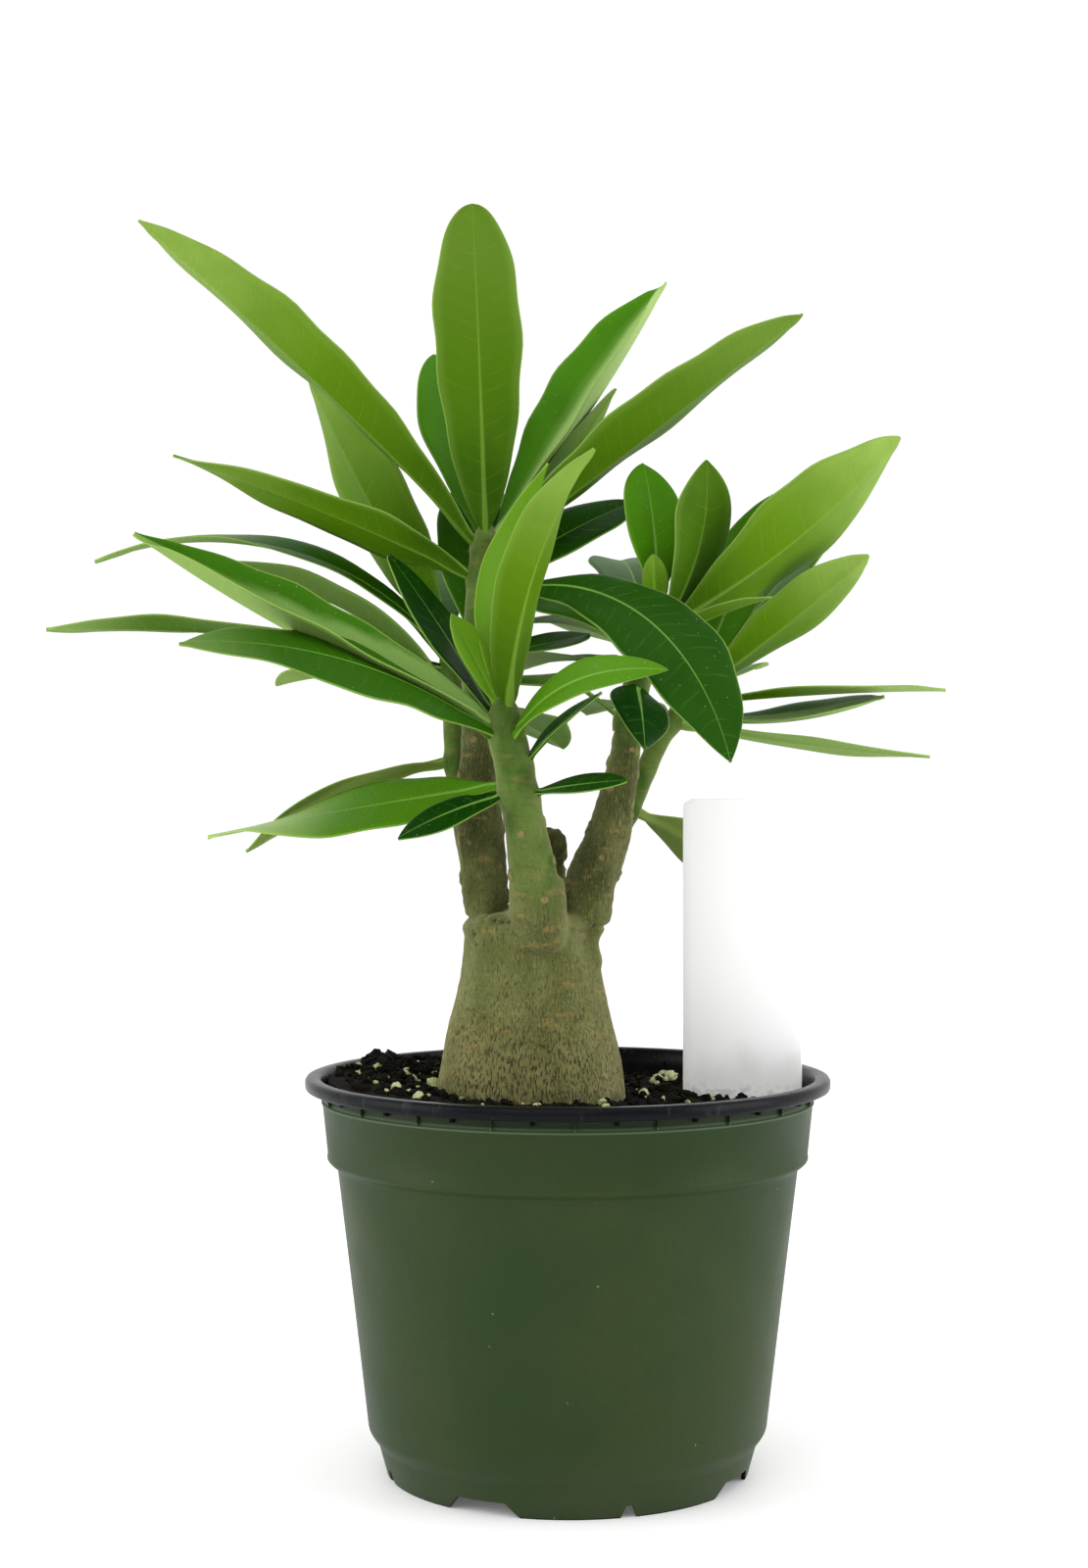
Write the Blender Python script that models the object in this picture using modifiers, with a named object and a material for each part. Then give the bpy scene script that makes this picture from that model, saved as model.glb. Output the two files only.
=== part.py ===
"""A young desert rose growing in a green nursery pot, with a bare plant label.

Metres, +Z up. The origin is the centre of the pot's underside, on the surface the
pot stands on. +X is to the viewer's right, and +Y is away from the viewer.
"""

import math
import random
from collections import namedtuple

import bmesh
import bpy
from mathutils import Vector, noise

# Clearance between pieces that touch
GAP = 0.0003

# Pot: a thin plastic shell with a rolled lip, a stacking band and a notched foot
POT_HEIGHT = 0.1243
WALL = 0.0012
FOOT_RADIUS = 0.0567
FOOT_TOP = (0.0594, 0.0095)
BODY_BOTTOM = (0.0625, 0.0138)
BODY_TOP = (0.0724, 0.0955)
BAND_BOTTOM = (0.0752, 0.0980)
BAND_TOP = (0.0772, 0.1198)
LIP_RADIUS = 0.0825
LIP_INNER_RADIUS = 0.0778
LIP_ROUND = 0.0010
FLOOR_HEIGHT = 0.0050
PAD_RADIUS = 0.0220
PAD_SLOPE = 0.0050
POT_STEPS = 40

# Foot notches: four wide ones with a narrow one midway between each two
NOTCH_COUNT = 4
WIDE_NOTCH_ANGLE = 243.0
WIDE_NOTCH = (0.0240, 0.0158, 0.0044)
NARROW_NOTCH = (0.0052, 0.0024, 0.0040)
DRAIN_RADIUS = 0.0045
DRAIN_RING = 0.0440

# Potting mix
SOIL_HEIGHT = 0.1178
SOIL_TILT = 0.0026
SOIL_ROUGHNESS = 0.0012
SOIL_RING_COUNT = 3
LUMP_COUNT = 24
LUMP_SIZES = (0.0016, 0.0030)

# Label: a blank plastic strip pushed into the mix
LABEL_WIDTH = 0.0380
LABEL_LENGTH = 0.1270
LABEL_THICKNESS = 0.0008
LABEL_POINT = 0.0300
LABEL_CORNER = 0.0030
LABEL_TOP = 0.2110
LABEL_PLACE = (0.0556, 0.0060)
LABEL_TURN = -12.0

# Swollen trunk: radius and height down its outline, and its place in the pot
CAUDEX_PLACE = (-0.0112, 0.0)
CAUDEX_OUTLINE = (
    (0.0, 0.1755),
    (0.0100, 0.1760),
    (0.0168, 0.1750),
    (0.0202, 0.1715),
    (0.0206, 0.1650),
    (0.0214, 0.1570),
    (0.0232, 0.1480),
    (0.0256, 0.1380),
    (0.0276, 0.1290),
    (0.0291, 0.1200),
    (0.0302, 0.1120),
    (0.0305, 0.1030),
    (0.0288, 0.0930),
    (0.0245, 0.0820),
    (0.0180, 0.0710),
    (0.0100, 0.0620),
    (0.0, 0.0580),
)
CAUDEX_STEPS = 24
CAUDEX_LOBES = ((2, 0.030, 20.0), (3, 0.022, 75.0), (5, 0.012, 10.0))

# Side roots: direction, height they leave the trunk, reach, drop and thickness
ROOTS = (
    (15.0, 0.0900, 0.0540, 0.0330, 0.0042),
    (100.0, 0.0860, 0.0500, 0.0420, 0.0036),
    (190.0, 0.0920, 0.0460, 0.0300, 0.0040),
    (275.0, 0.0850, 0.0520, 0.0450, 0.0034),
)
ROOT_TIP_RADIUS = 0.0012

# Stems: points on the middle line, each with its radius, from the trunk to the tip
STEM_POINTS = {
    "front": (
        (-0.0090, -0.0060, 0.1520, 0.0100),
        (-0.0098, -0.0125, 0.1700, 0.0090),
        (-0.0106, -0.0175, 0.1860, 0.0075),
        (-0.0131, -0.0205, 0.2005, 0.0063),
        (-0.0149, -0.0230, 0.2123, 0.0060),
        (-0.0179, -0.0260, 0.2273, 0.0056),
        (-0.0192, -0.0285, 0.2380, 0.0042),
        (-0.0194, -0.0290, 0.2430, 0.0016),
    ),
    "tall": (
        (-0.0200, 0.0030, 0.1520, 0.0090),
        (-0.0238, 0.0040, 0.1700, 0.0078),
        (-0.0264, 0.0055, 0.1860, 0.0075),
        (-0.0274, 0.0065, 0.2010, 0.0070),
        (-0.0282, 0.0078, 0.2160, 0.0060),
        (-0.0286, 0.0088, 0.2345, 0.0050),
        (-0.0292, 0.0098, 0.2600, 0.0042),
        (-0.0280, 0.0100, 0.2800, 0.0040),
        (-0.0262, 0.0100, 0.2940, 0.0036),
        (-0.0258, 0.0100, 0.3000, 0.0014),
    ),
    "left": (
        (-0.0290, 0.0080, 0.1900, 0.0050),
        (-0.0325, 0.0130, 0.2050, 0.0042),
        (-0.0355, 0.0170, 0.2200, 0.0036),
        (-0.0369, 0.0205, 0.2410, 0.0034),
        (-0.0377, 0.0240, 0.2620, 0.0030),
        (-0.0379, 0.0245, 0.2670, 0.0013),
    ),
    "right": (
        (-0.0010, -0.0010, 0.1500, 0.0095),
        (0.0040, -0.0020, 0.1700, 0.0088),
        (0.0076, -0.0022, 0.1860, 0.0082),
        (0.0128, -0.0026, 0.1990, 0.0073),
        (0.0160, -0.0030, 0.2130, 0.0058),
        (0.0182, -0.0030, 0.2260, 0.0049),
        (0.0196, -0.0028, 0.2380, 0.0046),
        (0.0240, -0.0024, 0.2550, 0.0042),
        (0.0282, -0.0020, 0.2660, 0.0036),
        (0.0296, -0.0020, 0.2710, 0.0014),
    ),
    "far_right": (
        (0.0090, 0.0010, 0.1880, 0.0050),
        (0.0140, 0.0070, 0.1970, 0.0044),
        (0.0180, 0.0115, 0.2045, 0.0038),
        (0.0225, 0.0140, 0.2136, 0.0035),
        (0.0290, 0.0180, 0.2280, 0.0032),
        (0.0345, 0.0215, 0.2364, 0.0031),
        (0.0400, 0.0260, 0.2460, 0.0028),
        (0.0412, 0.0270, 0.2490, 0.0012),
    ),
}
# Height along each stem where the bark ends and its green, leafy part begins
BARK_ENDS = {
    "front": 0.0560,
    "tall": 0.0900,
    "left": 0.0240,
    "right": 0.0860,
    "far_right": 0.0200,
}
# Short straight length that squares off each end of a stem
END_COLLAR = 0.0008
# A short dead stub where an old branch was cut off
STUB_POINTS = (
    (-0.0060, 0.0060, 0.1600, 0.0055),
    (-0.0055, 0.0100, 0.1800, 0.0048),
    (-0.0045, 0.0120, 0.1960, 0.0040),
    (-0.0038, 0.0125, 0.2010, 0.0026),
)

# Leaves: below is the distance of a leaf's foot below its stem's tip. The azimuth is
# its side of the stem, 0 to the right, 90 away and 180 to the left. It leaves the stem
# at the angle rise above level, and that angle changes by droop, and the azimuth by
# sweep, towards the tip. The blade is rolled about its midrib by roll, and by twist
# more at the tip, and its two halves stand up by the angle fold. It is widest at peak.
# A high wedge gives it a slender foot, and a high tip a pointed end.
Leaf = namedtuple(
    "Leaf",
    "name stem below azimuth rise droop sweep length width roll twist fold peak wedge tip",
    defaults=(0.64, 1.5, 0.75),
)
LEAVES = (
    Leaf("t_crown", "tall", 0.004, -97, 78, -7, 0, 0.1024, 0.0276, 12, 0, 10, 0.64, 0.7, 0.5),
    Leaf("t_upper_left", "tall", 0.008, 185, 47, -9, 14, 0.1463, 0.0295, 24, 0, 32, 0.59, 1.0, 0.9),
    Leaf("t_mid_left", "tall", 0.018, 190, 25, -8, 0, 0.1021, 0.0276, 20, 0, 1, 0.35, 1.2, 1.2),
    Leaf("t_upper_right", "tall", 0.006, 32, 46, 13, 0, 0.1128, 0.0360, 8, 0, 46, 0.58, 1.3, 0.9),
    Leaf("t_right", "tall", 0.012, -8, 37, 0, 0, 0.1251, 0.0308, -21, 0, 26, 0.51, 1.1, 0.7),
    Leaf("t_small_right", "tall", 0.016, 33, 49, 4, 0, 0.0802, 0.0220, -45, 0, 0, 0.57, 1.3, 0.8),
    Leaf("t_back_left", "tall", 0.006, 128, 64, 6, 0, 0.068, 0.027, 0, 0, 10, 0.60, 1.2, 0.7),
    Leaf("t_back", "tall", 0.040, 95, 71, -20, 0, 0.066, 0.024, 0, 0, 10, 0.60, 1.2, 0.8),
    Leaf("t_big_front", "tall", 0.026, -39, 17, -87, -13, 0.1280, 0.0287, 29, 0, 0, 0.66, 1.3, 0.9),
    Leaf("t_back_right", "tall", 0.022, 22, 38, -17, 0, 0.061, 0.024, 30, 0, 8, 0.60, 1.2, 0.8),
    Leaf("t_low_right", "tall", 0.050, 35, -6, 15, 0, 0.060, 0.018, -15, 0, 10, 0.60),
    Leaf("t_low_right_dark", "tall", 0.044, 20, 12, 0, 0, 0.038, 0.016, 20, 0, 10, 0.60),
    Leaf("t_back_long", "tall", 0.022, 80, 42, -40, 0, 0.110, 0.026, 0, 0, 12),
    Leaf("t_back_low", "tall", 0.036, 60, 15, -30, 0, 0.100, 0.026, 0, 0, 10),
    Leaf("l_upper", "left", 0.004, 177, 60, 3, -18, 0.0980, 0.0360, 49, 0, 13, 0.54, 1.2, 0.9),
    Leaf("l_arched", "left", 0.010, 190, 52, -75, 0, 0.125, 0.020, -30, 45, 12, 0.50, 1.2, 1.0),
    Leaf("l_level", "left", 0.014, 183, 14, -17, 0, 0.130, 0.024, -8, 40, 14, 0.45, 1.2, 1.0),
    Leaf("l_behind_long", "left", 0.019, 172, 46, -44, 0, 0.098, 0.022, 10, 0, 30, 0.45, 1.2, 1.0),
    Leaf("l_low_back", "left", 0.024, 150, 30, -40, 0, 0.058, 0.020, 0, 0, 12, 0.60),
    Leaf("l_lowest", "left", 0.044, 179, -14, -20, 0, 0.073, 0.020, 20, 0, 12, 0.55, 1.2, 0.9),
    Leaf("l_back", "left", 0.008, 100, 38, -32, 0, 0.105, 0.026, 0, 0, 12),
    Leaf("l_back_left", "left", 0.020, 130, 12, -20, 0, 0.100, 0.024, 0, 0, 12),
    Leaf("l_back_right", "left", 0.028, 65, 5, -25, 0, 0.085, 0.024, 0, 0, 12),
    Leaf("f_tall", "front", 0.004, -60, 81, -28, 41, 0.0837, 0.0212, -16, 0, 41, 0.55, 0.6, 0.9),
    Leaf("f_bright", "front", 0.006, 143, 77, -18, -162, 0.0852, 0.0133, 16, 147, 16, 0.42, 1.2, 0.9),
    Leaf("f_young", "front", 0.004, 174, 63, 0, 0, 0.0323, 0.0118, -47, 0, 22, 0.64, 1.2, 0.9),
    Leaf("f_dark_left", "front", 0.010, 150, 57, -8, 0, 0.068, 0.026, 0, 0, 6, 0.55, 1.2, 0.8),
    Leaf("f_long_left", "front", 0.009, 192, 19, 16, 0, 0.1236, 0.0301, -30, 0, 50, 0.53, 0.9, 1.0),
    Leaf("f_arched_left", "front", 0.014, 209, 34, -39, 0, 0.1093, 0.0360, -34, 10, 0, 0.49, 1.2, 1.0),
    Leaf("f_light_right", "front", 0.014, -61, 49, -63, 39, 0.0671, 0.0140, 60, 30, 11, 0.47, 0.5, 0.8),
    Leaf("f_narrow_right", "front", 0.022, -20, 48, -15, 0, 0.034, 0.010, 30, 0, 15, 0.50, 1.1, 1.0),
    Leaf("f_low_left", "front", 0.028, 162, -8, -3, 0, 0.1029, 0.0317, -41, 46, 2, 0.53, 1.4, 1.1),
    Leaf("f_low_dark", "front", 0.031, 191, -12, -19, 0, 0.0375, 0.0138, -32, 0, 1, 0.56, 1.1, 0.9),
    Leaf("f_low_right", "front", 0.031, -30, 10, -7, 0, 0.035, 0.012, 30, 0, 10, 0.55),
    Leaf("r_back_up", "right", 0.004, 110, 95, -35, 0, 0.053, 0.019, 0, 0, 8, 0.70),
    Leaf("r_up", "right", 0.005, -9, 56, 38, -16, 0.0539, 0.0254, -27, 0, 0, 0.62, 1.2, 0.9),
    Leaf("r_big", "right", 0.006, -3, 28, 21, 13, 0.0974, 0.0356, -46, 0, 18, 0.57, 1.5, 0.8),
    Leaf("r_small_dark", "right", 0.006, 150, 60, -75, 0, 0.036, 0.012, -30, 0, 10, 0.60),
    Leaf("r_young", "right", 0.004, -110, 80, 0, 0, 0.021, 0.009, 0, 0, 20, 0.60),
    Leaf("r_thin", "right", 0.012, -30, 27, -17, 0, 0.043, 0.012, 0, 0, 20, 0.60),
    Leaf("r_left_dark", "right", 0.016, 140, 52, -62, 0, 0.060, 0.022, -30, 0, 8, 0.60),
    Leaf("r_hanging", "right", 0.026, -87, -16, -41, 0, 0.0345, 0.0199, -23, 0, 0, 0.46, 1.0, 1.0),
    Leaf("r_low_left", "right", 0.036, 140, 30, 0, 0, 0.028, 0.010, 20, 0, 10, 0.60),
    Leaf("r_back", "right", 0.012, 95, 42, -42, 0, 0.095, 0.026, 0, 0, 12),
    Leaf("r_back_left", "right", 0.020, 118, 12, -20, 0, 0.085, 0.024, 0, 0, 12),
    Leaf("k_up", "far_right", 0.003, 45, 43, -10, 0, 0.095, 0.022, 0, 0, 10, 0.60),
    Leaf("k_behind_big", "far_right", 0.004, 15, 66, 2, 0, 0.071, 0.024, 40, 0, 15, 0.55),
    Leaf("k_right", "far_right", 0.005, -18, 35, 4, 0, 0.0730, 0.0254, -29, 0, 13, 0.67, 1.3, 0.8),
    Leaf("k_level", "far_right", 0.008, -10, 6, -7, 0, 0.083, 0.018, 0, 0, 14, 0.50),
    Leaf("k_low_dark", "far_right", 0.012, -6, -13, 35, 0, 0.0662, 0.0248, 13, 0, 15, 0.72, 1.6, 0.9),
    Leaf("k_lowest", "far_right", 0.016, -11, -11, 6, 0, 0.0820, 0.0149, -16, 0, 1, 0.50, 1.1, 0.9),
    Leaf("k_under", "far_right", 0.049, 20, -28, -3, 0, 0.056, 0.020, -45, 0, 15, 0.60, 1.5, 0.75),
    Leaf("k_back", "far_right", 0.009, 70, 20, -20, 0, 0.090, 0.024, 0, 0, 12),
    Leaf("k_back_left", "far_right", 0.014, 110, 12, -20, 0, 0.080, 0.022, 0, 0, 12),
)
BLADE_THICKNESS = 0.0008
RIB_DEPTH = 0.0016
STALK_HALF_WIDTH = 0.0017
TIP_HALF_WIDTH = 0.0006
# A blade narrower than this to each side lies flatter
FLAT_HALF_WIDTH = 0.0045
BLADE_COLUMNS = 4
BLADE_ROWS = 6
MIDRIB_STEPS = 40

GREEN_PLASTIC = ("pot_green", (0.030, 0.075, 0.028), 0.45)
BLACK_PLASTIC = ("pot_black", (0.012, 0.012, 0.014), 0.5)
MIX = ("mix", (0.018, 0.013, 0.010), 0.95)
BARK = ("bark", (0.26, 0.25, 0.14), 0.75)
LEAF_GREEN = ("leaf", (0.10, 0.22, 0.02), 0.4)
WHITE_PLASTIC = ("label_white", (0.85, 0.86, 0.86), 0.4)


def clear_scene():
    for obj in list(bpy.data.objects):
        bpy.data.objects.remove(obj)


def make_collection(name):
    collection = bpy.data.collections.new(name)
    bpy.context.scene.collection.children.link(collection)
    return collection


def material(spec):
    name, colour, roughness = spec
    found = bpy.data.materials.get(name)
    if found:
        return found
    made = bpy.data.materials.new(name)
    made.use_nodes = True
    shader = made.node_tree.nodes["Principled BSDF"]
    shader.inputs["Base Color"].default_value = (*colour, 1.0)
    shader.inputs["Roughness"].default_value = roughness
    made.diffuse_color = (*colour, 1.0)
    return made


def object_from(bm, name, collection):
    mesh = bpy.data.meshes.new(name)
    bm.to_mesh(mesh)
    bm.free()
    obj = bpy.data.objects.new(name, mesh)
    collection.objects.link(obj)
    return obj


def evaluated_mesh(obj):
    """The object's mesh with its modifiers applied."""
    bpy.context.view_layer.update()
    graph = bpy.context.evaluated_depsgraph_get()
    return bpy.data.meshes.new_from_object(obj.evaluated_get(graph))


def apply_modifiers(obj):
    mesh = evaluated_mesh(obj)
    obj.modifiers.clear()
    obj.data = mesh


def turned(name, outline, steps, collection):
    """A solid of revolution. The outline holds (radius, height) pairs, down its outer side."""
    bm = bmesh.new()
    points = [bm.verts.new((radius, 0.0, height)) for radius, height in outline]
    for first, second in zip(points, points[1:]):
        bm.edges.new((first, second))
    obj = object_from(bm, name, collection)
    screw = obj.modifiers.new("turn", "SCREW")
    screw.steps = steps
    screw.render_steps = steps
    screw.use_merge_vertices = True
    screw.merge_threshold = 0.00001
    apply_modifiers(obj)
    return obj


def tube(name, points, collection, resolution=2):
    """A round bar along points of (x, y, z, radius), closed at both ends."""
    curve = bpy.data.curves.new(name, "CURVE")
    curve.dimensions = "3D"
    curve.bevel_depth = 1.0
    curve.bevel_resolution = resolution
    curve.use_fill_caps = True
    spline = curve.splines.new("POLY")
    spline.points.add(len(points) - 1)
    for point, (x, y, z, radius) in zip(spline.points, points):
        point.co = (x, y, z, 1.0)
        point.radius = radius
    bar = bpy.data.objects.new(name + "_line", curve)
    collection.objects.link(bar)
    mesh = evaluated_mesh(bar)
    bm = bmesh.new()
    bm.from_mesh(mesh)
    bmesh.ops.remove_doubles(bm, verts=bm.verts, dist=0.00001)
    bpy.data.objects.remove(bar)
    return object_from(bm, name, collection)


def join_all(target, others, solver="EXACT"):
    """Joins the others into the target with one Boolean union, and removes them."""
    group = bpy.data.collections.new(target.name + "_repeats")
    bpy.context.scene.collection.children.link(group)
    for obj in others:
        for owner in obj.users_collection:
            owner.objects.unlink(obj)
        group.objects.link(obj)
    boolean = target.modifiers.new("join", "BOOLEAN")
    boolean.operation = "UNION"
    boolean.solver = solver
    boolean.operand_type = "COLLECTION"
    boolean.collection = group
    apply_modifiers(target)
    for obj in list(group.objects):
        bpy.data.objects.remove(obj)
    bpy.data.collections.remove(group)


def cut(target, cutter):
    boolean = target.modifiers.new("cut", "BOOLEAN")
    boolean.operation = "DIFFERENCE"
    boolean.solver = "EXACT"
    boolean.object = cutter
    cutter.hide_render = True
    cutter.display_type = "WIRE"


def smooth(obj, angle=35.0):
    obj.data.shade_smooth()
    obj.data.set_sharp_from_angle(angle=math.radians(angle))


def catmull_rom(points, per_span):
    """Points on a smooth curve through the given ones, per_span of them to each span."""
    rows = [Vector(p) for p in points]
    rows = [rows[0] * 2 - rows[1], *rows, rows[-1] * 2 - rows[-2]]
    made = []
    for before, start, end, after in zip(rows, rows[1:], rows[2:], rows[3:]):
        for step in range(per_span):
            t = step / per_span
            made.append(
                0.5 * (2 * start + (end - before) * t
                       + (2 * before - 5 * start + 4 * end - after) * t ** 2
                       + (3 * start - before - 3 * end + after) * t ** 3)
            )
    return [*made, rows[-2]]


def stem_line(name):
    """Finely spaced (distance, point, radius) along a stem's middle line."""
    line, distance, last = [], 0.0, None
    for row in catmull_rom([Vector(p) for p in STEM_POINTS[name]], 8):
        point = Vector(row[:3])
        distance += (point - last).length if last is not None else 0.0
        line.append((distance, point, row[3]))
        last = point
    return line


def stem_at(line, distance):
    """The point and the radius at a distance along a stem's middle line."""
    for (near, a, ra), (far, b, rb) in zip(line, line[1:]):
        if far >= distance:
            share = (distance - near) / (far - near)
            return a.lerp(b, share), ra + (rb - ra) * share
    return line[-1][1], line[-1][2]


def stem_rows(name, start, end, count):
    """Rows of (x, y, z, radius) along part of a stem, for a tube."""
    line = stem_line(name)
    places = [start + (end - start) * step / count for step in range(count + 1)]
    places[1:1] = [start + END_COLLAR]
    places[-1:-1] = [end - END_COLLAR]
    rows = []
    for place in places:
        point, radius = stem_at(line, place)
        rows.append((*point, radius))
    return rows


def midrib(leaf):
    """Points down the middle of a leaf, from its foot inside the stem to its tip."""
    line = stem_line(leaf.stem)
    foot, radius = stem_at(line, line[-1][0] - leaf.below)
    azimuth = math.radians(leaf.azimuth)
    outward = Vector((math.cos(azimuth), math.sin(azimuth), 0.0))
    point = foot + outward * radius * 0.45
    points = [point]
    for step in range(MIDRIB_STEPS):
        along = blade_frame(leaf, (step + 0.5) / MIDRIB_STEPS)[0]
        point = point + along * leaf.length / MIDRIB_STEPS
        points.append(point)
    return points


def blade_frame(leaf, v):
    """Directions at a share v of a leaf: along its midrib, across it and out of its upper face."""
    azimuth = math.radians(leaf.azimuth + leaf.sweep * v)
    rise = math.radians(leaf.rise + leaf.droop * v)
    roll = math.radians(leaf.roll + leaf.twist * v * v)
    along = Vector((math.cos(rise) * math.cos(azimuth), math.cos(rise) * math.sin(azimuth), math.sin(rise)))
    level = Vector((-math.sin(azimuth), math.cos(azimuth), 0.0))
    upper = along.cross(level)
    across = level * math.cos(roll) + upper * math.sin(roll)
    return along, across, upper * math.cos(roll) - level * math.sin(roll)


def half_width(leaf, v):
    """Half the blade's width: a stalk, a long wedge, its widest at peak, and a tip."""
    if v < leaf.peak:
        shape = (1.0 - (1.0 - v / leaf.peak) ** 2) ** leaf.wedge
    else:
        shape = (1.0 - ((v - leaf.peak) / (1.0 - leaf.peak)) ** 2) ** leaf.tip
    blade = leaf.width / 2 * shape
    least = TIP_HALF_WIDTH + (STALK_HALF_WIDTH - TIP_HALF_WIDTH) * (1.0 - v)
    return max(blade, least)


def blade_point(leaf, points, u, v, side):
    """A point of the blade: u is -1 to 1 across it, v 0 to 1 along it, side 1 on its upper face."""
    place = v * MIDRIB_STEPS
    index = min(int(place), MIDRIB_STEPS - 1)
    middle = points[index].lerp(points[index + 1], place - index)
    _, across, upper = blade_frame(leaf, v)
    half = half_width(leaf, v)
    fold = math.radians(leaf.fold) * min(half / FLAT_HALF_WIDTH, 1.0)
    stands = across * u * math.cos(fold) + upper * abs(u) * math.sin(fold)
    facing = (upper * math.cos(fold) - across * math.copysign(math.sin(fold), u)) if u else upper
    thick = BLADE_THICKNESS / 2
    if side < 0:
        thick += RIB_DEPTH * (1.0 - 0.8 * v) * (1.0 - min(abs(u) * half / 0.004, 1.0))
    return middle + stands * half + facing * thick * side


def leaf_blade(leaf, collection):
    """A leaf as one thin, arched solid, with both faces split into like triangles."""
    bm = bmesh.new()
    bmesh.ops.create_grid(bm, x_segments=BLADE_COLUMNS, y_segments=BLADE_ROWS, size=1.0)
    bmesh.ops.triangulate(bm, faces=bm.faces, quad_method="FIXED")
    bmesh.ops.solidify(bm, geom=bm.faces[:], thickness=0.1)
    heights = [vert.co.z for vert in bm.verts]
    halfway = (min(heights) + max(heights)) / 2
    points = midrib(leaf)
    for vert in bm.verts:
        share = (vert.co.y + 1.0) / 2
        v = share - 0.07 * math.sin(2 * math.pi * share)
        side = 1 if vert.co.z > halfway else -1
        vert.co = blade_point(leaf, points, round(vert.co.x, 4), v, side)
    bmesh.ops.recalc_face_normals(bm, faces=bm.faces)
    return object_from(bm, leaf.name, collection)


def leafy_stem(name, collection):
    """The green end of a stem with all its leaves, as one solid."""
    length = stem_line(name)[-1][0]
    stem = tube("leafy_stem_" + name, stem_rows(name, BARK_ENDS[name] + GAP, length, 9), collection)
    leaves = [leaf_blade(leaf, collection) for leaf in LEAVES if leaf.stem == name]
    join_all(stem, leaves)
    stem.data.materials.clear()
    stem.data.materials.append(material(LEAF_GREEN))
    smooth(stem)
    return stem


def trunk_body(name, clearance, collection):
    """The swollen trunk and its side roots. A clearance makes the hole it stands in."""
    outline = []
    for radius, height in CAUDEX_OUTLINE:
        spread = clearance if radius else 0.0
        outline.append((radius + spread, height - clearance * (height < CAUDEX_OUTLINE[-2][1])))
    body = turned(name, outline, CAUDEX_STEPS, collection)
    for vert in body.data.vertices:
        angle = math.atan2(vert.co.y, vert.co.x)
        swell = 1.0 + sum(
            size * math.cos(count * (angle - math.radians(start))) for count, size, start in CAUDEX_LOBES
        )
        vert.co.x = vert.co.x * swell + CAUDEX_PLACE[0]
        vert.co.y = vert.co.y * swell + CAUDEX_PLACE[1]
    roots = []
    for direction, height, reach, drop, thickness in ROOTS:
        angle = math.radians(direction)
        rows = []
        for step in range(6):
            share = step / 5
            distance = 0.010 + (reach - 0.010) * share
            rows.append((
                CAUDEX_PLACE[0] + math.cos(angle + 0.25 * share) * distance,
                CAUDEX_PLACE[1] + math.sin(angle + 0.25 * share) * distance,
                height - drop * share ** 1.4,
                thickness + (ROOT_TIP_RADIUS - thickness) * share + clearance,
            ))
        if clearance:
            rows[-1] = tuple(Vector(rows[-1]) + (Vector(rows[-1]) - Vector(rows[-2])).normalized() * clearance)
        roots.append(tube(f"root_{direction:.0f}", rows, collection, resolution=1))
    join_all(body, roots)
    return body


def build_caudex(collection):
    """The trunk with its roots, its barky branches and the dead stub: grown as one piece."""
    body = trunk_body("caudex", 0.0, collection)
    branches = [
        tube("bark_" + name, stem_rows(name, 0.0, BARK_ENDS[name], 8), collection)
        for name in STEM_POINTS
    ]
    branches.append(tube("stub", [tuple(p) for p in catmull_rom(STUB_POINTS, 2)], collection))
    join_all(body, branches)
    body.data.materials.clear()
    body.data.materials.append(material(BARK))
    smooth(body, 50.0)
    return body


def offset_inwards(point, amount):
    return point[0] - amount, point[1]


def pot_inside():
    """Radius and height down the pot's inner wall, from the lip to the floor's edge."""
    return [
        (LIP_INNER_RADIUS - 0.0012, BAND_TOP[1] - 0.0010),
        offset_inwards(BAND_BOTTOM, WALL),
        offset_inwards((BODY_TOP[0], BODY_TOP[1] - 0.0004), WALL),
        offset_inwards(BODY_BOTTOM, WALL),
        (FOOT_TOP[0] - WALL, FOOT_TOP[1]),
        (FOOT_TOP[0] - WALL - 0.0009, FLOOR_HEIGHT + WALL),
    ]


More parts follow.
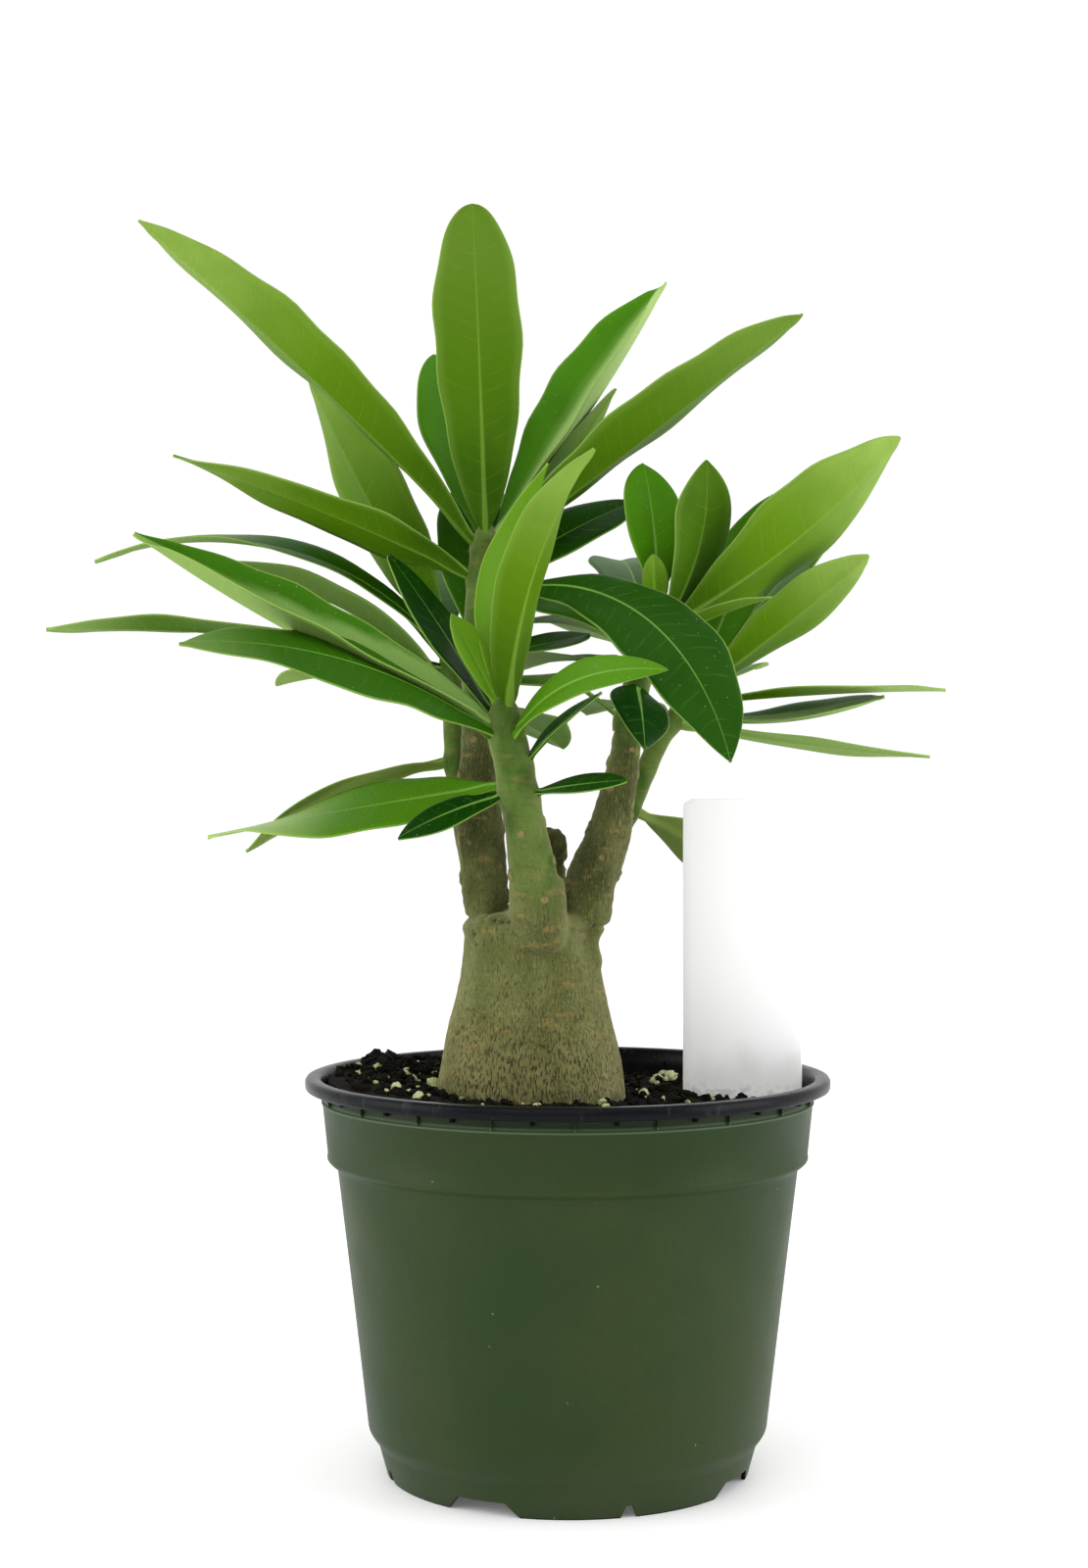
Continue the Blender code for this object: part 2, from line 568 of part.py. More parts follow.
def build_pot(collection, cutters):
    outside = [
        (LIP_INNER_RADIUS, POT_HEIGHT - LIP_ROUND),
        (LIP_INNER_RADIUS + LIP_ROUND, POT_HEIGHT),
        (LIP_RADIUS - LIP_ROUND, POT_HEIGHT),
        (LIP_RADIUS, POT_HEIGHT - LIP_ROUND),
        (LIP_RADIUS, BAND_TOP[1] + LIP_ROUND),
        (LIP_RADIUS - LIP_ROUND, BAND_TOP[1]),
        BAND_TOP,
        BAND_BOTTOM,
        BODY_TOP,
        BODY_BOTTOM,
        FOOT_TOP,
        (FOOT_RADIUS, 0.0),
    ]
    underneath = [
        (FOOT_RADIUS - WALL, 0.0),
        (FOOT_RADIUS - WALL + 0.0012, FLOOR_HEIGHT),
        (PAD_RADIUS + PAD_SLOPE, FLOOR_HEIGHT),
        (PAD_RADIUS, 0.0),
        (0.0, 0.0),
    ]
    floor = [
        (0.0, WALL),
        (PAD_RADIUS + 0.0004, WALL),
        (PAD_RADIUS + PAD_SLOPE + 0.0004, FLOOR_HEIGHT + WALL),
    ]
    outline = [*floor, *reversed(pot_inside()), *outside, *underneath]
    pot = turned("pot", outline, POT_STEPS, collection)
    for index in range(NOTCH_COUNT):
        angle = WIDE_NOTCH_ANGLE + index * 360 / NOTCH_COUNT
        cut(pot, notch_cutter("wide_notch", WIDE_NOTCH, angle, cutters))
        cut(pot, notch_cutter("narrow_notch", NARROW_NOTCH, angle + 180 / NOTCH_COUNT, cutters))
        cut(pot, drain_cutter(angle, cutters))
    pot.data.materials.clear()
    pot.data.materials.append(material(GREEN_PLASTIC))
    pot.data.materials.append(material(BLACK_PLASTIC))
    for face in pot.data.polygons:
        centre = face.center
        wall_radius = BODY_BOTTOM[0] + (BODY_TOP[0] - BODY_BOTTOM[0]) * centre.z / BODY_TOP[1]
        outer = math.hypot(centre.x, centre.y) > wall_radius - WALL * 1.6
        face.material_index = 0 if outer and face.normal.z < 0.5 and centre.z < BAND_TOP[1] - 0.001 else 1
    smooth(pot, 40.0)
    return pot


def notch_cutter(name, size, angle, cutters):
    """A trapezoidal bar that points outwards through the foot. Its size is (foot width, top width, height)."""
    foot_width, top_width, height = size
    bm = bmesh.new()
    bmesh.ops.create_cube(bm, size=1.0)
    slope = (foot_width - top_width) / height
    for vert in bm.verts:
        top = vert.co.z > 0
        half = top_width / 2 if top else foot_width / 2 + slope / 2 * height * 0.5
        vert.co = Vector((
            0.0500 if vert.co.x < 0 else 0.0700,
            math.copysign(half, vert.co.y),
            height if top else -height * 0.5,
        ))
    obj = object_from(bm, f"{name}_{angle:.0f}", cutters)
    obj.rotation_euler.z = math.radians(angle)
    return obj


def drain_cutter(angle, cutters):
    bm = bmesh.new()
    bmesh.ops.create_cone(
        bm, cap_ends=True, segments=12, radius1=DRAIN_RADIUS, radius2=DRAIN_RADIUS, depth=4 * FLOOR_HEIGHT
    )
    obj = object_from(bm, f"drain_{angle:.0f}", cutters)
    turn = math.radians(angle)
    obj.location = (math.cos(turn) * DRAIN_RING, math.sin(turn) * DRAIN_RING, FLOOR_HEIGHT)
    return obj


def soil_height(x, y):
    """The height of the potting mix: higher on the left, and uneven."""
    uneven = noise.noise(Vector((x, y, 0.0)) * 90.0) + 0.5 * noise.noise(Vector((x, y, 0.05)) * 210.0)
    return SOIL_HEIGHT - SOIL_TILT * x / 0.075 + SOIL_ROUGHNESS * uneven


def build_soil(collection, cutters):
    wall = [(radius - GAP, height) for radius, height in pot_inside()]
    slope = (wall[0][0] - wall[1][0]) / (wall[0][1] - wall[1][1])
    edge_radius = wall[1][0] + slope * (SOIL_HEIGHT - wall[1][1])
    rings = [edge_radius * step / SOIL_RING_COUNT for step in range(SOIL_RING_COUNT)]
    top = [(radius, SOIL_HEIGHT) for radius in rings] + [(edge_radius, SOIL_HEIGHT)]
    floor_top = FLOOR_HEIGHT + WALL + GAP
    bottom = [
        (wall[-1][0] - 0.0002, floor_top),
        (PAD_RADIUS + PAD_SLOPE + 0.0002, floor_top),
        (PAD_RADIUS + 0.0002, WALL + GAP),
        (0.0, WALL + GAP),
    ]
    soil = turned("potting_mix", [*top, *wall[1:-1], *bottom], POT_STEPS, collection)
    for vert in soil.data.vertices:
        radius = math.hypot(vert.co.x, vert.co.y)
        if vert.co.z > SOIL_HEIGHT - 0.0001 and radius < edge_radius - 0.001:
            vert.co.z = soil_height(vert.co.x, vert.co.y)
        elif vert.co.z > SOIL_HEIGHT - 0.0001:
            vert.co.z = soil_height(vert.co.x, vert.co.y) - 0.0010
            shift = 1.0 + slope * (vert.co.z - SOIL_HEIGHT) / radius
            vert.co.x *= shift
            vert.co.y *= shift
    join_all(soil, soil_lumps(collection))
    cut(soil, trunk_body("trunk_hole", GAP, cutters))
    cut(soil, label_solid("label_slot", GAP, cutters))
    soil.data.materials.clear()
    soil.data.materials.append(material(MIX))
    smooth(soil, 30.0)
    return soil


def soil_lumps(collection):
    """Crumbs of bark and perlite, half sunk in the mix, clear of the wall, the trunk and the label."""
    draw = random.Random(7)
    lumps = []
    while len(lumps) < LUMP_COUNT:
        size = draw.uniform(*LUMP_SIZES)
        radius = draw.uniform(0.030, 0.0715)
        angle = draw.uniform(0.0, 2 * math.pi)
        x, y = math.cos(angle) * radius, math.sin(angle) * radius
        from_trunk = math.hypot(x - CAUDEX_PLACE[0], y - CAUDEX_PLACE[1])
        from_label = abs(y - LABEL_PLACE[1]) if x > 0.030 else 1.0
        if from_trunk < 0.0325 + size or from_label < 0.005 + size:
            continue
        bm = bmesh.new()
        bmesh.ops.create_icosphere(bm, subdivisions=1, radius=size)
        for vert in bm.verts:
            vert.co = vert.co * draw.uniform(0.8, 1.15) + Vector((x, y, soil_height(x, y)))
        lumps.append(object_from(bm, f"lump_{len(lumps)}", collection))
    return lumps


def label_solid(name, clearance, collection):
    """A flat strip with rounded top corners and a pointed foot."""
    half = LABEL_WIDTH / 2 + clearance
    top, foot = LABEL_TOP + clearance, LABEL_TOP - LABEL_LENGTH - clearance
    corner = LABEL_CORNER
    outline = [(0.0, foot), (half, foot + LABEL_POINT)]
    for centre, start in ((half - corner, 0.0), (corner - half, 90.0)):
        for step in range(4):
            turn = math.radians(start + step * 30.0)
            outline.append((centre + corner * math.cos(turn), top - corner + corner * math.sin(turn)))
    outline.append((-half, foot + LABEL_POINT))
    curve = bpy.data.curves.new(name, "CURVE")
    curve.dimensions = "2D"
    curve.fill_mode = "BOTH"
    curve.extrude = LABEL_THICKNESS / 2 + clearance
    spline = curve.splines.new("POLY")
    spline.points.add(len(outline) - 1)
    for point, (x, y) in zip(spline.points, outline):
        point.co = (x, y, 0.0, 1.0)
    spline.use_cyclic_u = True
    flat = bpy.data.objects.new(name + "_outline", curve)
    collection.objects.link(flat)
    mesh = evaluated_mesh(flat)
    bpy.data.objects.remove(flat)
    bm = bmesh.new()
    bm.from_mesh(mesh)
    bmesh.ops.remove_doubles(bm, verts=bm.verts, dist=0.00001)
    obj = object_from(bm, name, collection)
    obj.rotation_euler = (math.radians(90.0), 0.0, math.radians(LABEL_TURN))
    obj.location = (*LABEL_PLACE, 0.0)
    return obj


def build():
    clear_scene()
    parts = make_collection("potted_desert_rose")
    cutters = make_collection("cutters")
    build_pot(parts, cutters)
    build_soil(parts, cutters)
    build_caudex(parts)
    for name in STEM_POINTS:
        leafy_stem(name, parts)
    label = label_solid("plant_label", 0.0, parts)
    label.data.materials.append(material(WHITE_PLASTIC))


build()
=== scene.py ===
# %% [markdown]
# # A potted desert rose
#
# The plant is a young desert rose: a swollen, grey-green trunk with five shoots of
# long leaves, grown in a green nursery pot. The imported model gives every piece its
# place and size. This script gives each piece its fine shape and its finish.

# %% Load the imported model
import random
from collections import namedtuple
from math import atan2, copysign, cos, hypot, pi, radians, sin, sqrt, tau

import bmesh
import bpy
from mathutils import Matrix, Vector, noise
from mathutils.kdtree import KDTree


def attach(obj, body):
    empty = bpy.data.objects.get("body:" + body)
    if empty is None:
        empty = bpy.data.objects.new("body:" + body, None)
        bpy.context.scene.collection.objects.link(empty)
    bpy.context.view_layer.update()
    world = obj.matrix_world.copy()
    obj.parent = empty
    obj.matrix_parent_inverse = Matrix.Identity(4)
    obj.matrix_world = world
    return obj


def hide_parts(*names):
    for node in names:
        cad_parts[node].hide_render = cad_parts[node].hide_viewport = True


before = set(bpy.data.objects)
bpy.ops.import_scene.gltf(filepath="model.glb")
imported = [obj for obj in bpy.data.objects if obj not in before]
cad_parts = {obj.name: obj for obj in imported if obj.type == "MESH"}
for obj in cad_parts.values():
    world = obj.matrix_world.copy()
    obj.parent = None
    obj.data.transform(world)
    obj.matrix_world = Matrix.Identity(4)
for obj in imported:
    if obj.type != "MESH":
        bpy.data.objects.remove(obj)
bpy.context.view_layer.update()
print("nodes:", sorted(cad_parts))

# %% [markdown]
# ## Helpers for the pieces
#
# Every piece starts as a bmesh, becomes an object at the origin, and then rides on
# the one body of this plant. A long, bent form such as a stem could be a curve with a
# bevel. A flat grid wrapped round its middle line is used instead, because each point
# then keeps its place along and round the stem, and bark and scars can follow it.

# %% From a bmesh to a finished piece


def add_object(name, data):
    made = bpy.data.objects.new(name, data)
    bpy.context.scene.collection.objects.link(made)
    return made


def make_piece(bm, name, materials):
    mesh = bpy.data.meshes.new(name)
    bm.to_mesh(mesh)
    bm.free()
    for material in materials:
        mesh.materials.append(material)
    mesh.shade_smooth()
    return add_object(name, mesh)


def bake_modifiers(piece):
    """Gives the piece the mesh that its modifiers make, and removes them."""
    bpy.context.view_layer.update()
    graph = bpy.context.evaluated_depsgraph_get()
    mesh = bpy.data.meshes.new_from_object(piece.evaluated_get(graph))
    piece.modifiers.clear()
    piece.data = mesh


def place(piece, slot, *nodes):
    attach(piece, "root")
    if nodes:
        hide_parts(*nodes)
    print(piece.name, "has", len(piece.data.vertices), "points")


# %% Millimetres, smooth ramps and unevenness


def in_metres(*rows):
    """Rows that are written in millimetres, in metres."""
    return [tuple(number / 1000.0 for number in row) for row in rows]


def ramp(value, low, high):
    share = min(max((value - low) / (high - low), 0.0), 1.0)
    return share * share * (3.0 - 2.0 * share)


def bell(distance, reach):
    """1 at no distance, and 0 from the reach onwards."""
    return 1.0 - ramp(distance, 0.0, reach)


def uneven(point, size, seed=0.0):
    """Smooth unevenness from -1 to 1, with bumps of about this size in metres."""
    return noise.noise(point / size + Vector((seed, seed, seed)))


# %% [markdown]
# ## Writing a material as an expression
#
# Blender's materials are graphs of nodes. Small sums are easier to read as Python, so
# a Value wraps a node's output, and adding or multiplying Values adds Math nodes.
# A Finish is one material: it makes its nodes, and ends in a Principled shader. Most
# finishes are a ground colour with coats over it, each where its own mask is high.

# %% Values and graphs of nodes


class Value:
    """A number or a colour on its way through a graph of nodes."""

    def __init__(self, graph, socket):
        self.graph = graph
        self.socket = socket

    def maths(self, operation, *terms):
        return self.graph.node("Math", {"operation": operation}, dict(enumerate(terms)))

    def __add__(self, other):
        return self.maths("ADD", self, other)

    def __sub__(self, other):
        return self.maths("SUBTRACT", self, other)

    def __rsub__(self, other):
        return self.maths("SUBTRACT", other, self)

    def __mul__(self, other):
        return self.maths("MULTIPLY", self, other)

    def __abs__(self):
        return self.maths("ABSOLUTE", self)

    def part(self):
        """What is left after the whole number."""
        return self.maths("FRACT", self)

    __radd__ = __add__
    __rmul__ = __mul__


class Graph:
    """The nodes of a material or a world."""

    def __init__(self, owner):
        owner.use_nodes = True
        self.tree = owner.node_tree

    def node(self, kind, settings, sockets, output=0):
        """Any node: its type, its settings, and the values or links of its sockets."""
        made = self.tree.nodes.new("ShaderNode" + kind)
        for name, value in settings.items():
            setattr(made, name, value)
        for key, value in sockets.items():
            if isinstance(value, Value):
                self.tree.links.new(value.socket, made.inputs[key])
            else:
                made.inputs[key].default_value = value
        return Value(self, made.outputs[output])

    def rise(self, value, low, high, least=0.0, most=1.0):
        """From least at low to most at high, smoothly between."""
        sockets = {"Value": value, "From Min": low, "From Max": high, "To Min": least, "To Max": most}
        return self.node("MapRange", {"interpolation_type": "SMOOTHSTEP"}, sockets)


# %% A finish


class Finish(Graph):
    """One material, and the nodes that vary it over a surface."""

    def __init__(self, name, **constants):
        self.material = bpy.data.materials.new(name)
        super().__init__(self.material)
        self.shader = self.tree.nodes["Principled BSDF"]
        for socket, value in constants.items():
            self.shader.inputs[socket.replace("_", " ")].default_value = value

    def place(self, stretch=(1.0, 1.0, 1.0)):
        """The point on the object, in metres, stretched along its axes."""
        point = self.node("TexCoord", {}, {}, "Object")
        return self.node("Mapping", {}, {"Vector": point, "Scale": stretch})

    def height(self):
        return self.node("SeparateXYZ", {}, {"Vector": self.place()}, "Z")

    def above(self, low, high):
        """0 at one height and 1 at the other, which may be the lower one."""
        return self.rise(self.height(), low, high)

    def attribute(self, name):
        return self.node("Attribute", {"attribute_name": name}, {}, "Fac")

    def cloud(self, per_metre, detail=2.0, stretch=(1.0, 1.0, 1.0)):
        """Soft noise around 0.5, with this many bumps to the metre."""
        sockets = {"Vector": self.place(stretch), "Scale": per_metre, "Detail": detail}
        return self.node("TexNoise", {}, sockets, "Fac")

    def patches(self, low, high, *cloud):
        """0 where a cloud is under low and 1 where it is over high."""
        return self.rise(self.cloud(*cloud), low, high)

    def dots(self, per_metre, radius):
        """1 in small round spots, 0 between them."""
        sockets = {"Vector": self.place(), "Scale": per_metre}
        distance = self.node("TexVoronoi", {}, sockets, "Distance")
        return self.rise(distance, radius, radius * 0.4)

    def mix(self, share, first, second):
        """A colour between two colours."""
        colours = [c if isinstance(c, Value) else (*c, 1.0) for c in (first, second)]
        sockets = {0: share, 6: colours[0], 7: colours[1]}
        return self.node("Mix", {"data_type": "RGBA"}, sockets, 2)

    def coats(self, colour, *coats):
        """A colour with coats over it, each with its share and its own colour."""
        for share, coat in coats:
            colour = self.mix(share, colour, coat)
        return colour

    def bump(self, height, depth):
        """A relief of this depth in metres, as a surface normal."""
        return self.node("Bump", {}, {"Height": height, "Distance": depth}, "Normal")

    def feed(self, **sockets):
        """Links what varies to the shader."""
        for name, value in sockets.items():
            self.tree.links.new(value.socket, self.shader.inputs[name.replace("_", " ")])
        return self.material


# %% [markdown]
# ## Green plastic, dark rim
#
# The pot is moulded from a green plastic with a soft sheen. Its rim and its inside are
# a charcoal plastic. Real moulded plastic has a faint orange-peel skin, slow changes of
# tone where it cooled, and specks of dust.

# %% Pot finishes


def pot_green():
    finish = Finish("pot_green", Specular_IOR_Level=0.14)
    tone = finish.patches(0.35, 0.65, 16.0, 3.0)
    fine = finish.patches(0.35, 0.75, 700.0, 3.0)
    # Painted shade: the band darkens upwards, towards the lip that overhangs it
    band_shade = finish.above(0.095, 0.11)
    # Painted shade: the neck under the lip is much darker
    neck_shade = finish.above(0.117, 0.118)
    # Painted highlight: a light line along the bead below the neck
    bead_highlight = (1.0 - neck_shade) * finish.above(0.1158, 0.1163)
    foot = finish.above(0.03, 0.0)
    colour = finish.coats(
        finish.mix(tone, (0.017, 0.038, 0.0085), (0.026, 0.043, 0.0105)),
        (fine * 0.25, (0.016, 0.03, 0.007)),
        (band_shade * 0.4, (0.01, 0.024, 0.005)),
        (neck_shade * 0.6, (0.005, 0.013, 0.004)),
        (bead_highlight * 0.7, (0.08, 0.12, 0.065)),
        (foot * 0.25, (0.05, 0.062, 0.034)),
        (finish.dots(90.0, 0.035) * 0.5, (0.3, 0.33, 0.27)),
    )
    rough = finish.cloud(60.0, 4.0) * 0.16 + 0.4
    relief = finish.cloud(900.0, 3.0)
    return finish.feed(Base_Color=colour, Roughness=rough, Normal=finish.bump(relief, 0.00008))


def pot_dark():
    finish = Finish("pot_dark", Specular_IOR_Level=0.09)
    high = finish.above(0.1185, 0.1215)
    scuffs = finish.patches(0.58, 0.75, 260.0, 5.0, (1.0, 1.0, 0.3))
    lip = finish.mix(finish.cloud(40.0, 4.0), (0.001, 0.002, 0.003), (0.004, 0.005, 0.007))
    colour = finish.coats(
        finish.mix(high, (0.001, 0.001, 0.001), lip),
        (scuffs * high * 0.3, (0.06, 0.06, 0.065)),
    )
    rough = finish.cloud(150.0, 3.0) * 0.16 + 0.72 - high * 0.52
    relief = finish.cloud(800.0, 3.0)
    return finish.feed(Base_Color=colour, Roughness=rough, Normal=finish.bump(relief, 0.0001))


green_plastic = pot_green()
dark_plastic = pot_dark()
print("pot finishes:", green_plastic.name, dark_plastic.name)

# %% [markdown]
# ## The pot
#
# A nursery pot is a thin, turned shell. It could be drawn as a cylinder that is pulled
# into shape ring by ring. Its outline is drawn once instead, from the middle of the floor
# up the outside, over the lip and down the inside, and spun round the pot's axis. The
# foot's notches are then cut with wedges, so that each keeps the wall's thickness.

# %% The pot's outline
# Radius and height: out under the floor, up the outside, over the lip and down the inside
POT_OUTLINE = in_metres(
    (0, 0), (21.4, 0), (22.2, 0.4), (26.2, 4.6), (27.2, 5), (56.7, 5), (55.5, 0.4), (55.7, 0),
    (56.5, 0), (56.9, 0.4), (59.2, 8.5), (59.4, 9.5), (59.9, 10.4), (61.7, 12.8), (62.4, 14),
    (62.7, 15), (67.3, 54), (72.3, 95), (72.5, 96.2), (73.1, 96.8), (74.2, 97.4), (74.8, 97.9),
    (75.3, 98.4), (75.6, 99), (75.6, 99.5), (75.4, 100), (77, 115.6), (77.4, 116.1), (77.4, 116.6),
    (76.8, 116.9), (76.6, 117.3), (76.8, 119.7), (77.6, 120.1), (81.6, 120.3), (82.2, 120.6),
    (82.5, 121.2), (82.5, 123.2), (82, 124), (81.2, 124.3), (78.8, 124.3), (78, 124),
    (77.6, 123.4), (77.2, 122.2), (76.2, 118.8), (74, 98), (71.2, 95.1), (61.3, 13.8), (58, 9.5),
    (57, 6.2), (27.2, 6.2), (26.2, 5.8), (22.2, 1.6), (21.4, 1.2), (0, 1.2),
)
POT_STEPS = 160


def spin_outline(bm, outline, steps):
    """Spins a list of (radius, height) round the pot's axis."""
    points = [bm.verts.new((radius, 0.0, height)) for radius, height in outline]
    edges = [bm.edges.new(pair) for pair in zip(points, points[1:])]
    bmesh.ops.spin(
        bm,
        geom=points + edges,
        cent=(0.0, 0.0, 0.0),
        axis=(0.0, 0.0, 1.0),
        angle=tau,
        steps=steps,
        use_merge=True,
    )
    bmesh.ops.remove_doubles(bm, verts=bm.verts, dist=0.000005)
    bmesh.ops.recalc_face_normals(bm, faces=bm.faces)


# %% Notches and drains
WIDE_NOTCH_ANGLE = 243.0
# Each notch's width at the foot, its width at the top, and its height
WIDE_NOTCH = (0.024, 0.0158, 0.0044)
NARROW_NOTCH = (0.0052, 0.0022, 0.0038)
NOTCH_FROM, NOTCH_TO = 0.048, 0.07
DRAIN_RADIUS, DRAIN_RING = 0.0045, 0.044


def turn_on_axis(bm, verts, angle):
    """Turns points round the pot's axis by an angle in degrees."""
    bmesh.ops.rotate(bm, verts=verts, cent=(0, 0, 0), matrix=Matrix.Rotation(radians(angle), 3, "Z"))


def wedge(bm, size, angle):
    """A bar that points out through the foot, wider below."""
    foot_width, top_width, height = size
    made = bmesh.ops.create_cube(bm, size=1.0)["verts"]
    for vert in made:
        top = vert.co.z > 0
        width = top_width if top else foot_width + (foot_width - top_width) * 0.5
        vert.co = Vector((
            NOTCH_FROM if vert.co.x < 0 else NOTCH_TO,
            copysign(width / 2, vert.co.y),
            height if top else -height * 0.5,
        ))
    turn_on_axis(bm, made, angle)


def notch_cutter():
    bm = bmesh.new()
    for quarter in range(4):
        angle = WIDE_NOTCH_ANGLE + 90.0 * quarter
        wedge(bm, WIDE_NOTCH, angle)
        wedge(bm, NARROW_NOTCH, angle + 45.0)
        size = {"radius1": DRAIN_RADIUS, "radius2": DRAIN_RADIUS, "depth": 0.02}
        drain = bmesh.ops.create_cone(bm, cap_ends=True, segments=32, **size)["verts"]
        turn = radians(angle)
        bmesh.ops.translate(bm, verts=drain, vec=(cos(turn) * DRAIN_RING, sin(turn) * DRAIN_RING, 0.005))
    return make_piece(bm, "notch_cutter", [])


# %% Make the pot
# Under the lip, thin ribs stand between short pegs, which are dark as painted shade: their sizes, radius and
# top
TICK_COUNT = 40
RIB_SIZE = (0.0016, 0.0005, 0.0034)
PEG_SIZE = (0.002, 0.0011, 0.0017)
TICK_RADIUS, TICK_TOP = 0.0765, 0.1203
# All of the pot is dark above the lip's foot. The pegs and the floor's underside are dark too, as painted
# shade
LIP_FOOT = 0.1198
PEG_FOOT, PEG_REACH = 0.119, 0.0767
FLOOR_TOP, FLOOR_REACH = 0.007, 0.0568


def lip_ticks(bm):
    for number in range(TICK_COUNT):
        size = PEG_SIZE if number % 2 else RIB_SIZE
        made = bmesh.ops.create_cube(bm, size=1.0)["verts"]
        bmesh.ops.scale(bm, verts=made, vec=size)
        bmesh.ops.translate(bm, verts=made, vec=(TICK_RADIUS + size[0] / 4, 0.0, TICK_TOP - size[2] / 2))
        turn_on_axis(bm, made, number * 360.0 / TICK_COUNT + 1.0)


def is_dark(face):
    """The rim and the inside are dark. The pegs, the inner faces of the foot and the floor's underside are
    dark as painted shade, and the rest of the pot is green.
    """
    centre, normal = face.center, face.normal
    reach = centre.xy.length
    inside = normal.dot(Vector((centre.x, centre.y, 0.0)).normalized()) < -0.2
    shaded_beneath = abs(normal.z) > 0.5 and centre.z < FLOOR_TOP and reach < FLOOR_REACH
    shaded_peg = centre.z > PEG_FOOT and reach > PEG_REACH
    return inside or shaded_beneath or shaded_peg or centre.z > LIP_FOOT


def make_pot():
    bm = bmesh.new()
    spin_outline(bm, POT_OUTLINE, POT_STEPS)
    pot = make_piece(bm, "nursery_pot", [green_plastic, dark_plastic])
    cutter = notch_cutter()
    cut = pot.modifiers.new("notches", "BOOLEAN")
    cut.operation = "DIFFERENCE"
    cut.object = cutter
    bake_modifiers(pot)
    bpy.data.objects.remove(cutter)
    bm = bmesh.new()
    bm.from_mesh(pot.data)
    lip_ticks(bm)
    bm.to_mesh(pot.data)
    bm.free()
    for face in pot.data.polygons:
        face.material_index = 1 if is_dark(face) else 0
    pot.data.set_sharp_from_angle(angle=radians(40.0))
    return pot


pot = make_pot()
place(pot, "pot_plastic", "pot")

# %% [markdown]
# ## The plan of the plant
#
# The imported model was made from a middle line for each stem, and from each leaf's place,
# angles and size. The same numbers are repeated here, so that the finely made leaves lie
# where the plain ones did. Only f_light_right, a light leaf of the front shoot, is a
# little narrower and flatter than the plain one. A scanned plant would need no plan, but
# a plan can be corrected one leaf at a time.

# %% Middle lines of the stems
# Points on each stem's middle line, with the stem's radius, from the trunk to the tip
STEM_POINTS = {
    "front": in_metres(
        (-9, -6, 152, 10), (-9.8, -12.5, 170, 9), (-10.6, -17.5, 186, 7.5),
        (-13.1, -20.5, 200.5, 6.3), (-14.9, -23, 212.3, 6), (-17.9, -26, 227.3, 5.6),
        (-19.2, -28.5, 238, 4.2), (-19.4, -29, 243, 1.6),
    ),
    "tall": in_metres(
        (-20, 3, 152, 9), (-23.8, 4, 170, 7.8), (-26.4, 5.5, 186, 7.5), (-27.4, 6.5, 201, 7),
        (-28.2, 7.8, 216, 6), (-28.6, 8.8, 234.5, 5), (-29.2, 9.8, 260, 4.2), (-28, 10, 280, 4),
        (-26.2, 10, 294, 3.6), (-25.8, 10, 300, 1.4),
    ),
    "left": in_metres(
        (-29, 8, 190, 5), (-32.5, 13, 205, 4.2), (-35.5, 17, 220, 3.6), (-36.9, 20.5, 241, 3.4),
        (-37.7, 24, 262, 3), (-37.9, 24.5, 267, 1.3),
    ),
    "right": in_metres(
        (-1, -1, 150, 9.5), (4, -2, 170, 8.8), (7.6, -2.2, 186, 8.2), (12.8, -2.6, 199, 7.3),
        (16, -3, 213, 5.8), (18.2, -3, 226, 4.9), (19.6, -2.8, 238, 4.6), (24, -2.4, 255, 4.2),
        (28.2, -2, 266, 3.6), (29.6, -2, 271, 1.4),
    ),
    "far_right": in_metres(
        (9, 1, 188, 5), (14, 7, 197, 4.4), (18, 11.5, 204.5, 3.8), (22.5, 14, 213.6, 3.5),
        (29, 18, 228, 3.2), (34.5, 21.5, 236.4, 3.1), (40, 26, 246, 2.8), (41.2, 27, 249, 1.2),
    ),
}
# Distance along each stem, in metres, where the bark ends and its green part begins
BARK_ENDS = {"front": 0.056, "tall": 0.09, "left": 0.024, "right": 0.086, "far_right": 0.02}
# A short dead stub where an old branch was cut off
STUB_POINTS = in_metres(
    (-6, 6, 160, 5.5), (-5.5, 10, 180, 4.8), (-4.5, 12, 196, 4), (-3.8, 12.5, 201, 2.6),
)
print(len(STEM_POINTS), "stems")

